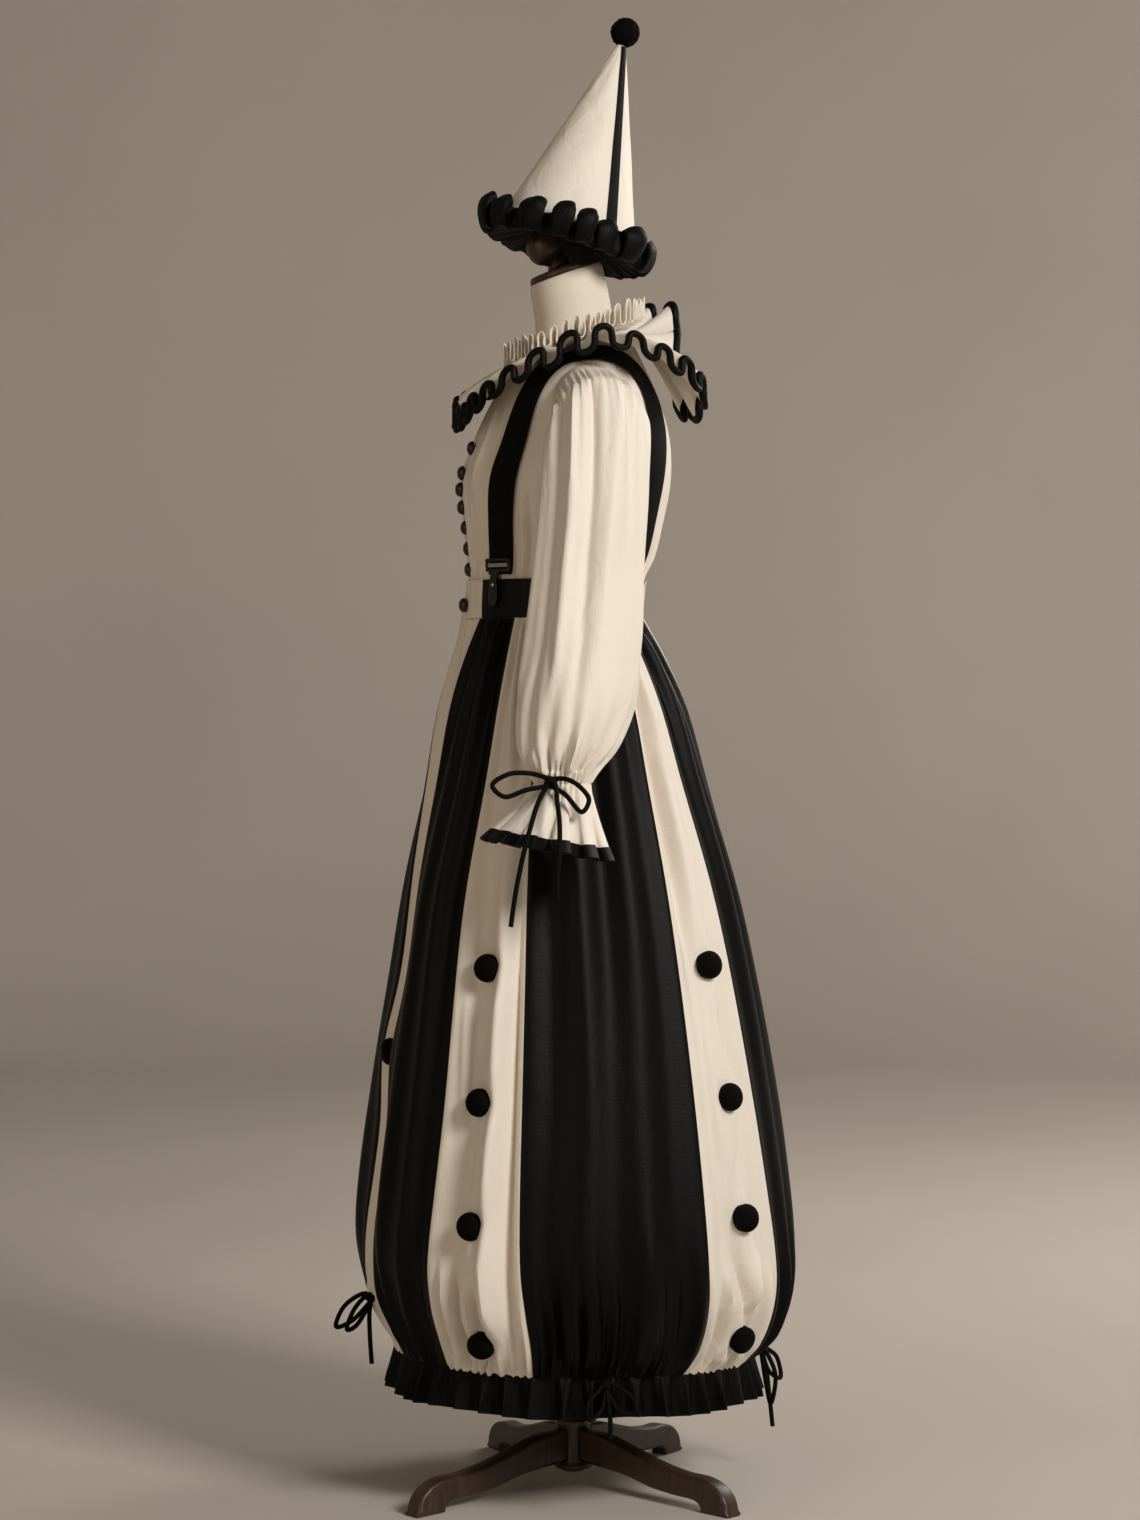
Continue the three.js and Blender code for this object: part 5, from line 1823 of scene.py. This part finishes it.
@dataclass
class Waistband(Assembly):
    """Four blocks of folded cloth over the blouse hem: cream at front and back, black at the sides."""

    out: float = 4.7
    block: float = 24.0

    def build(self) -> None:
        """Make the four blocks."""
        for name, first, last, black in (
            ("front", 90 - self.block, 90 + self.block, False),
            ("left", self.block - 90, 90 - self.block, True),
            ("back", -90 - self.block, self.block - 90, False),
            ("right", 90 + self.block, 270 - self.block, True),
        ):
            count = int((last - first) / 360 * 320) + 1
            angle, level = np.meshgrid(np.linspace(first + SEAM_HALF_GAP, last - SEAM_HALF_GAP, count),
                                       np.linspace(WAISTBAND_BOTTOM, WAISTBAND_TOP, 19))
            rise = (level - WAISTBAND_BOTTOM) / (WAISTBAND_TOP - WAISTBAND_BOTTOM)
            ease_in = 0.5 * puckers(angle * 2.3, 26, 91) * np.sin(np.pi * rise)
            edge = -0.7 * np.exp(-((np.minimum(rise, 1 - rise) * 49 - 4.5) / 1.1) ** 2)
            grid = section_point(SHIRT(level), angle, level, self.out + ease_in + edge)
            cloth = Cloth(f"waistband_{name}_cloth", self.placing.move(grid), thickness=HEAVY_CLOTH)
            piece = cloth.build()
            self.dress_sateen(piece, black, f"waistband_{name}")


@dataclass
class Braces(Assembly):
    """Two elastic straps over the shoulders, each with its slider and button tab."""

    width: float = 32.0
    cloth: float = 1.6
    out: float = 4.8
    top_level: float = 1400.0
    end_level: float = 1178.0
    slider_width: float = 42.0

    def _depth(self, x: np.ndarray, level: np.ndarray, face: np.ndarray) -> np.ndarray:
        """Where the blouse's surface is, from front to back.

        Args:
            x: Distance aside from the middle.
            level: Level.
            face: -1 for its front, 1 for its back.

        Returns:
            The place along Y.
        """
        section = SHIRT(level)
        share = np.maximum(0.02, 1 - (x / section[..., 1]) ** 2)
        return section[..., 0] + face * section[..., 2] * np.sqrt(share)

    def _line(self, across: np.ndarray, at: np.ndarray) -> np.ndarray:
        """Point of the strap's place on the blouse.

        Args:
            across: Distance across the strap from its middle.
            at: Share of the way from the front waist to the back waist.

        Returns:
            The points.
        """
        x = STRAP(at)[..., 0] + across
        front = at < 0.5
        run = np.clip(np.where(front, at / 0.4, (1 - at) / 0.4), 0, 1)
        level = mix(self.end_level, self.top_level, run)
        flank = stacked(x, self._depth(x, level, np.where(front, -1.0, 1.0)), level)
        top = np.full(np.shape(x), self.top_level)
        y = mix(self._depth(x, top, -1.0), self._depth(x, top, 1.0), np.clip((at - 0.4) / 0.2, 0, 1))
        low, high = top - 20, np.full(np.shape(x), NECK_LEVEL)
        for _ in range(30):
            middle = (low + high) / 2
            section = SHIRT(middle)
            inside = (x / section[..., 1]) ** 2 + ((y - section[..., 0]) / section[..., 2]) ** 2 < 1
            low, high = np.where(inside, middle, low), np.where(inside, high, middle)
        shoulder = neck_tilt(stacked(x, y, low), low)
        over = ((at >= 0.4) & (at <= 0.6))[..., None]
        return np.where(over, shoulder, flank)

    def surface(self, across: np.ndarray, at: np.ndarray, out: float) -> np.ndarray:
        """Point of the strap, lifted off the blouse.

        Args:
            across: Distance across it.
            at: Share of the way along it.
            out: Distance off the blouse.

        Returns:
            The points.
        """
        side = self._line(across + 1, at) - self._line(across - 1, at)
        along = self._line(across, at + 0.002) - self._line(across, at - 0.002)
        normal = np.cross(side, along)
        normal = normal / np.linalg.norm(normal, axis=-1, keepdims=True)
        place = self._line(across, at)
        away = place - (0, 0, WAISTBAND_TOP)
        turn = np.sign((normal * away).sum(-1, keepdims=True))
        return place + normal * turn * out

    def build(self) -> None:
        """Make both straps and their sliders."""
        for name, side in SIDES:
            self._strap(name, side)
            self._clip(name, side)

    def _strap(self, name: str, side: int) -> None:
        """Make one strap.

        Args:
            name: left or right.
            side: 1 or -1.
        """
        half = self.width / 2
        across = np.concatenate([[-half, -half + 1.2], np.linspace(-half + 2.6, half - 2.6, 9),
                                 [half - 1.2, half]])
        across, at = np.meshgrid(across, np.linspace(0, 1, 181))
        grid = self.surface(across, at, self.out)
        for _ in range(6):
            grid[1:-1] = grid[1:-1] * 0.5 + (grid[:-2] + grid[2:]) * 0.25
        cloth = Cloth(f"brace_{name}_strap", self.placing.move(grid, side), thickness=self.cloth)
        piece = self.dress(cloth.build(), self.finishes.webbing, "black_cloth", f"brace_{name}")

    def _frame(self, outer: tuple, inner: tuple, thick: float) -> tuple[np.ndarray, list]:
        """A flat rectangular ring of metal.

        Args:
            outer: Width and height outside.
            inner: Width and height of its window.
            thick: Its thickness.

        Returns:
            Points, with Z out of the frame, and faces.
        """
        rings = []
        for (w, h), level in ((outer, 0.0), (outer, thick * 0.7), ((outer[0] - 1.4, outer[1] - 1.4), thick),
                              ((inner[0] + 1.0, inner[1] + 1.0), thick), (inner, thick * 0.7), (inner, 0.0)):
            rings.append([(x, y, level) for x, y in rounded_box(w, h, 2.2)])
        return np.array([p for ring in rings for p in ring]), ring_faces(len(rings), len(rings[0]))

    def _clip(self, name: str, side: int) -> None:
        """Make one slider, its black button tab and stud.

        Args:
            name: left or right.
            side: 1 or -1.
        """
        at = 0.022
        middle = self.surface(np.array([0.0]), np.array([at]), self.out + 1.6)[0]
        right = self.surface(np.array([4.0]), np.array([at]), self.out + 1.6)[0] - middle
        up = self.surface(np.array([0.0]), np.array([at + 0.02]), self.out + 1.6)[0] - middle
        right = right / np.linalg.norm(right)
        up = up - (up @ right) * right
        up = up / np.linalg.norm(up)
        out = np.cross(right, up)
        if out[1] > 0:
            out = -out
        axes = np.stack([right, up, out])
        points, faces = self._frame((self.slider_width, 17), (self.slider_width - 8, 9.4), 2.6)
        points = self.placing.move(points @ axes + middle + out * 0.4, side)
        slider = new_mesh(f"brace_slider_{name}", points, faces, 30.0)
        self.dress(slider, self.finishes.lacquer, "steel", f"brace_clip_{name}")
        points, faces = block(self.slider_width - 9, 5.6, 1.6)
        points = self.placing.move(points @ axes + middle + out * 1.2, side)
        bar = new_mesh(f"brace_bar_{name}", points, faces, 30.0)
        self.dress(bar, self.finishes.nickel, "steel")
        tab = self._tab(name, side, middle)
        log.info("brace slider %s: with %s", name, tab.name)

    def _tab(self, name: str, side: int, top: np.ndarray) -> bpy.types.Object:
        """Make the button tab that hangs from a slider over the waistband.

        Args:
            name: left or right.
            side: 1 or -1.
            top: The slider's middle.

        Returns:
            The piece.
        """
        level = np.linspace(top[2] - 5, 1138, 22)[:, None]
        across = np.linspace(-7, 7, 9)[None, :]
        narrow = 1 - 0.25 * bell(level - 1172, 10) - 0.35 * ease((1146 - level) / 8)
        section = SHIRT(np.minimum(level, self.end_level))
        rise = np.clip((level - WAISTBAND_TOP) / (top[2] - WAISTBAND_TOP), 0, 1)
        x = mix(80.0, top[0], rise) + across * narrow
        # The waistband stands off 4.7 and is 1.2 to its face; then come a gap, the strap and half the tab
        clear = 4.7 + 1.2 + 0.5 + 1.6 + 1
        y = section[..., 0] - (section[..., 2] + clear) * np.sqrt(1 - (x / (section[..., 1] + clear)) ** 2)
        grid = self.placing.move(stacked(x, y, level), side)
        piece = Cloth(f"brace_tab_{name}", grid, thickness=1.8).build()
        self.dress(piece, self.finishes.lacquer, "black_cloth")
        outward = np.array((0.55 * side, -0.83, 0))
        turn, rim = np.meshgrid(np.arange(32) / 32 * 2 * np.pi, np.arange(8) / 8 * 2 * np.pi)
        aside = (4.6 + 0.9 * np.cos(rim)) * np.cos(turn)
        up = (7.6 + 0.9 * np.cos(rim)) * np.sin(turn)
        oval = grid[16, 4] + stacked(0.83 * side * aside, 0.55 * aside, up)
        oval = oval + (0.6 + 0.9 * np.sin(rim))[..., None] * outward
        hole = new_mesh(f"brace_buttonhole_{name}", oval.reshape(-1, 3), ring_faces(*oval.shape[:2]), 180.0)
        self.dress(hole, self.finishes.lacquer, "black_cloth")
        outline = np.array([(0, 0.4), (2.6, 0.4), (2.8, 1.4), (2.0, 2.4), (0, 2.7)])
        points, faces = turned(outline, 20)
        stud = new_mesh(f"brace_stud_{name}", standing(points, grid[9, 4], outward), faces, 50.0)
        self.dress(stud, self.finishes.nickel, "steel")
        return piece


def rounded_box(width: float, height: float, corner: float) -> list[tuple[float, float]]:
    """Outline of a rectangle with round corners.

    Args:
        width: Its width.
        height: Its height.
        corner: Radius of its corners.

    Returns:
        Points round it.
    """
    r = min(corner, width / 2 - 0.1, height / 2 - 0.1)
    outline = []
    for cx, cy, start in ((1, 1, 0), (-1, 1, 90), (-1, -1, 180), (1, -1, 270)):
        for step in range(5):
            a = math.radians(start + step * 22.5)
            outline.append((cx * (width / 2 - r) + r * math.cos(a), cy * (height / 2 - r) + r * math.sin(a)))
    return outline


def block(width: float, height: float, thick: float) -> tuple[np.ndarray, list]:
    """A bar with rounded edges, centred, with Z out of it.

    Args:
        width: Its width.
        height: Its height.
        thick: Its thickness.

    Returns:
        Points and faces.
    """
    rings = [[(x, y, level) for x, y in rounded_box(width - cut, height - cut, 1.4)]
             for cut, level in ((0.0, 0.0), (0.0, thick * 0.6), (0.9, thick))]
    return capped(np.array(rings, float))


@dataclass
class DressForm(Assembly):
    """The linen-covered torso and neck, the turned cap with its hat peg, the post and its four legs."""

    inset: float = 3.4
    legs: tuple = ((33.4, 1.0), (132.9, 0.84), (194.9, 0.84), (303.4, 1.0))

    def build(self) -> None:
        """Make and dress every piece of the form and the stand."""
        self._torso()
        self._cap()
        self._post()
        for number, (angle, reach) in enumerate(self.legs, 1):
            self._leg(number, angle, reach)

    def _torso(self) -> None:
        """Make the linen-covered torso and neck."""
        below = Table([[990, -12, 138, 112], [1003, -12, 147, 119], [1060, -16, 140, 115],
                       [1123, -24, 124, 104], [1176, -22, 125, 107]])
        angle = np.arange(96) / 96 * 360
        rows = []
        for level in (991, 994, 1000, 1010, 1030, 1060, 1090, 1123, 1150, 1176):
            rows.append(section_point(below(np.full(96, level)), angle, np.full(96, float(level)), -0.6))
        for level in np.concatenate([np.linspace(1190, 1418, 20), np.linspace(1424, NECK_LEVEL, 12)]):
            full = np.full(96, level)
            ring = shirt_point(angle, full, -self.inset - 2.5 * bell(full - 1215, 45))
            ring[:, 2] -= 2.2 * ease((full - TILT_START) / (NECK_LEVEL - TILT_START) + 0.5)
            rows.append(ring)
        neck = Table([[1474, 0, 59], [1486, 0, 52.5], [1515, 0, 49], [1545, -5, 48], [1570, -10, 47]])
        for level in np.linspace(1478, 1570, 24):
            centre, half = neck(level)
            seam = 0.7 * bell(wrapped(angle - 6), 1.6) + 0.5 * bell(wrapped(angle + 120), 1.6)
            edge = -2.2 * max(0.0, (level - 1566) / 4) ** 2
            section = stacked(centre, half, half)
            ring = section_point(section, angle, np.full(96, level), seam + edge - 0.3)
            ring[:, 2] += (ring[:, 1] - centre) * NECK_TILT
            rows.append(ring)
        points, faces = capped(self.placing.move(np.stack(rows)))
        piece = new_mesh("form_linen_cover", points, [f[::-1] for f in faces], 50.0)
        self.dress(piece, self.finishes.linen, "linen", "form_torso")
        log.info("form: %d faces", len(piece.data.polygons))

    def _cap(self) -> None:
        """Make the neck cap, the ball finial and the hat peg, one turned piece after another."""
        cap_place = np.array((0, -10, 1570.4))
        lean = math.radians(37)
        finial_way = np.array((0, -math.sin(lean), math.cos(lean)))
        ball = cap_place + 46 * finial_way
        hat = math.radians(16)
        hat_way = np.array((0, math.sin(hat), math.cos(hat)))
        knob = np.array((0, 0, 1644.0)) + 116 * hat_way
        cap = rounded([(0, 0), (44.6, 0), (46.6, 1.2), (47, 3), (46, 6), (43.4, 8.2), (30, 9.6), (16, 11),
                       (0, 11.4)])
        finial = rounded([(0, 5), (18, 5), (14, 8), (13, 11), (15, 14), (16, 16), (14.6, 18.6), (13, 21),
                          (16, 25), (21.5, 30), (25, 37), (25.5, 45), (23.5, 53), (19, 60), (11, 65.5),
                          (0, 68)])
        rod_long = float(np.linalg.norm(knob - ball))
        rod = np.array([(0, 0), (8, 0), (8, rod_long), (0, rod_long)], float)
        sphere = np.array([(39.3 * math.sin(a), -39.3 * math.cos(a)) for a in np.linspace(0, np.pi, 25)])
        sphere[[0, -1], 0] = 0
        tilt = np.array((0, -math.sin(math.radians(19)), math.cos(math.radians(19))))
        parts = []
        for profile, place, way in ((cap, cap_place, tilt), (finial, cap_place, finial_way),
                                    (rod, ball, knob - ball), (sphere, knob, hat_way)):
            points, faces = turned(profile, 56)
            parts.append((self.placing.move(standing(points, place, way)), faces))
        points, faces = joined(*parts)
        piece = new_mesh("neck_cap_turned", points, faces, 50.0)
        self.dress(piece, self.finishes.walnut, "walnut", "neck_cap_finial")

    def _leg(self, number: int, angle: float, reach: float) -> None:
        """Make one sawn leg with rounded edges.

        Args:
            number: Its number.
            angle: The way it points, in degrees from +X.
            reach: Its length as a share of the longest.
        """
        top = smooth_line([(22.3, 0, 72), (60, 0, 70), (110, 0, 59), (160, 0, 48), (200, 0, 43),
                           (238, 0, 42), (262, 0, 35), (277, 0, 22), (284, 0, 0)], 7.0)
        under = smooth_line([(238, 0, 0), (233, 0, 9), (222, 0, 13), (190, 0, 14), (150, 0, 17),
                             (100, 0, 26), (32, 0, 30), (22.3, 0, 31)], 7.0)
        outline = np.concatenate([top, under])
        outline[:, 0] = 22.3 + (outline[:, 0] - 22.3) * (284 * reach - 22.3) / (284 - 22.3)
        along = np.roll(outline, -1, 0) - np.roll(outline, 1, 0)
        inward = np.stack([along[:, 2], np.zeros(len(along)), -along[:, 0]], -1)
        inward = inward / np.linalg.norm(inward, axis=1, keepdims=True)
        half, edge = 12.5, 4.0
        turn = np.radians(np.linspace(0, 90, 6))
        inset = np.concatenate([edge * (1 - np.sin(turn)), edge * (1 - np.cos(turn))])
        aside = np.concatenate([half - edge * (1 - np.cos(turn)), -half + edge * (1 - np.sin(turn))])
        grid = np.stack([outline + inward * a + (0, b, 0) for a, b in zip(inset, aside)])
        matrix = np.array(Matrix.Rotation(math.radians(angle), 3, "Z"))
        count = len(outline)
        faces = grid_faces(len(inset), count, True).tolist()
        faces += [list(range(count)), list(range((len(inset) - 1) * count, len(inset) * count))[::-1]]
        points = self.placing.move(grid.reshape(-1, 3) @ matrix.T)
        piece = new_mesh(f"leg_{number}_sawn", points, faces, 50.0)
        self.dress(piece, self.finishes.walnut, "walnut", f"leg_{number}")

    def _post(self) -> None:
        """Make the turned post."""
        outline = [(0, 15), (13, 15), (14, 15.6), (18.6, 18), (19, 18.6), (24.6, 20), (25, 20.6), (25, 24.4),
                   (24.4, 25), (22.4, 28), (22, 29), (22, 73), (22.3, 74), (22.8, 76.6), (23, 77.4),
                   (22.4, 81.6), (21.4, 82.4), (16.6, 87), (16, 89), (16, 400), (16, 989.6), (0, 989.6)]
        points, faces = turned(np.array(outline), 56)
        piece = new_mesh("stand_post_turned", self.placing.move(points), faces, 40.0)
        self.dress(piece, self.finishes.walnut, "walnut", "stand_post")


# Hat

@dataclass
class Hat(Assembly):
    """A leaning cone of pieced cloth, its ribbons, its gathered brim ruffle and its pompom."""

    lean: float = 16.0
    base: tuple = (0.0, 0.0, 1644.0)
    radius: float = 82.0
    tip_radius: float = 3.0
    height: float = 238.0

    def place(self, points: np.ndarray, side: int = 1) -> np.ndarray:
        """Return points of the upright hat where it leans."""
        turn = np.array(Matrix.Rotation(math.radians(-self.lean), 3, "X"))
        return self.placing.move(points @ turn.T + np.array(self.base), side)

    def on_cone(self, angle: np.ndarray, height: np.ndarray, out: np.ndarray = 0.0) -> np.ndarray:
        """Return points of the upright cone."""
        radius = mix(self.radius, self.tip_radius, height / self.height) + out
        return stacked(radius * cosd(angle), -radius * sind(angle), height)

    def build(self) -> None:
        """Make the cone, ribbons, ruffle and pompom."""
        ring, height = np.meshgrid(np.arange(144) / 144 * 360, spread_rows((-28, 40, 10), (40, 234, 30)))
        soft = 0.7 * ring_folds(ring, 5, 101) * np.sin(np.pi * height / self.height)
        soft = soft + 0.5 * ring_folds(ring + height * 0.4, 9, 102)
        seam = -0.8 * bell(wrapped(ring + 62) * np.maximum(height * -0.0058 + 1.43, 0.1), 1.6)
        grid = self.place(self.on_cone(ring, height, soft * 0.6 + seam))
        cone = Cloth("hat_cone_cloth", grid, closed=True, thickness=2.0)
        piece = self.dress(cone.build(), self.finishes.cream, "cream_cloth", "hat_cone")
        for name, side in SIDES:
            self._ribbon(name, side)
        self._ruffle()
        self._pompom()

    def _ribbon(self, name: str, side: int) -> None:
        """Make one ribbon up the cone.

        Args:
            name: left or right.
            side: 1 or -1.
        """
        across, height = np.meshgrid(np.linspace(-1, 1, 7), np.linspace(-20, 232, 56))
        width = mix(17.0, 8.0, height / self.height)
        radius = mix(self.radius, self.tip_radius, height / self.height) + 1.9
        angle = -26 + across * width / 2 / np.radians(radius)
        grid = self.place(self.on_cone(angle, height, 1.9), side)
        ribbon = Cloth(f"hat_ribbon_{name}_cloth", grid, thickness=1.0)
        piece = self.dress(ribbon.build(), self.finishes.trim, "black_cloth", f"hat_ribbon_{name}")

    def _ruffle(self) -> None:
        """Make the gathered ruffle, in deep round loops about the brim."""
        ring, row = np.meshgrid(np.arange(900) / 900 * 360, np.arange(25.0))
        place = Table([
            [0, -13, 100, 9],
            [5, -19, 106, 11],
            [10, -29, 108, 10],
            [14, -40, 107, 7],
            [17, -47, 102, 5],
            [20, -44, 88, 3],
            [24, -26, 46, 0],
        ])(row)
        phase = np.radians(ring * 17) + 1.1 * sind(4 * ring)
        phase = phase + 0.8 * sind(3 * ring) + 0.03 * row
        uneven = 1 + 0.3 * sind(5 * ring) + 0.25 * sind(8 * ring + 50)
        radius = place[..., 1] + place[..., 2] * uneven * np.cos(phase) + 1.3 * ring_folds(ring, 61, 103)
        turn = ring + 0.42 * place[..., 2] * np.sin(2 * phase)
        x, y = radius * cosd(turn), -radius * sind(turn)
        crown = 6.5 * uneven * (1 - row / 14).clip(0, 1) * np.cos(phase)
        crown = crown + 3.5 * np.cos(2 * phase + 1) * (1 - row / 24)
        cloth = Cloth("hat_ruffle_cloth", self.place(stacked(x, y, place[..., 0] + crown)), closed=True)
        piece = self.dress(cloth.build(), self.finishes.trim, "black_cloth", "hat_ruffle")

    def _pompom(self) -> None:
        """Make the pompom at the tip."""
        angle, rise = np.meshgrid(np.arange(64) / 64 * 2 * np.pi, np.linspace(0.02, np.pi - 0.02, 40))
        tuft = 19.0 + 0.5 * np.sin(9 * angle + 3 * rise) * np.sin(rise) + 0.4 * np.sin(17 * rise + 5 * angle)
        reach = tuft * np.sin(rise)
        grid = stacked(reach * np.cos(angle), reach * np.sin(angle), 251.5 - tuft * np.cos(rise))
        points, faces = capped(grid)
        piece = new_mesh("hat_pompom_felt", self.place(points), faces, 70.0)
        self.dress(piece, self.finishes.felt, "black_pompom", "hat_pompom")


def main() -> None:
    """Build the studio and the costume."""
    logging.basicConfig(level=logging.INFO, format="%(message)s")
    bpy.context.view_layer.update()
    low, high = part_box("stand_post")
    axis_y = (low[1] + high[1]) / 2
    placing = Placing(axis_y / MM)
    finishes = Finishes()
    Studio(axis_y).build()
    for kind in (CordBows, Skirt, Blouse, Collar, Waistband, Braces, DressForm, Hat):
        kind(placing, finishes).build()
        log.info("%s is built", kind.__name__)


if __name__ == "__main__":
    main()
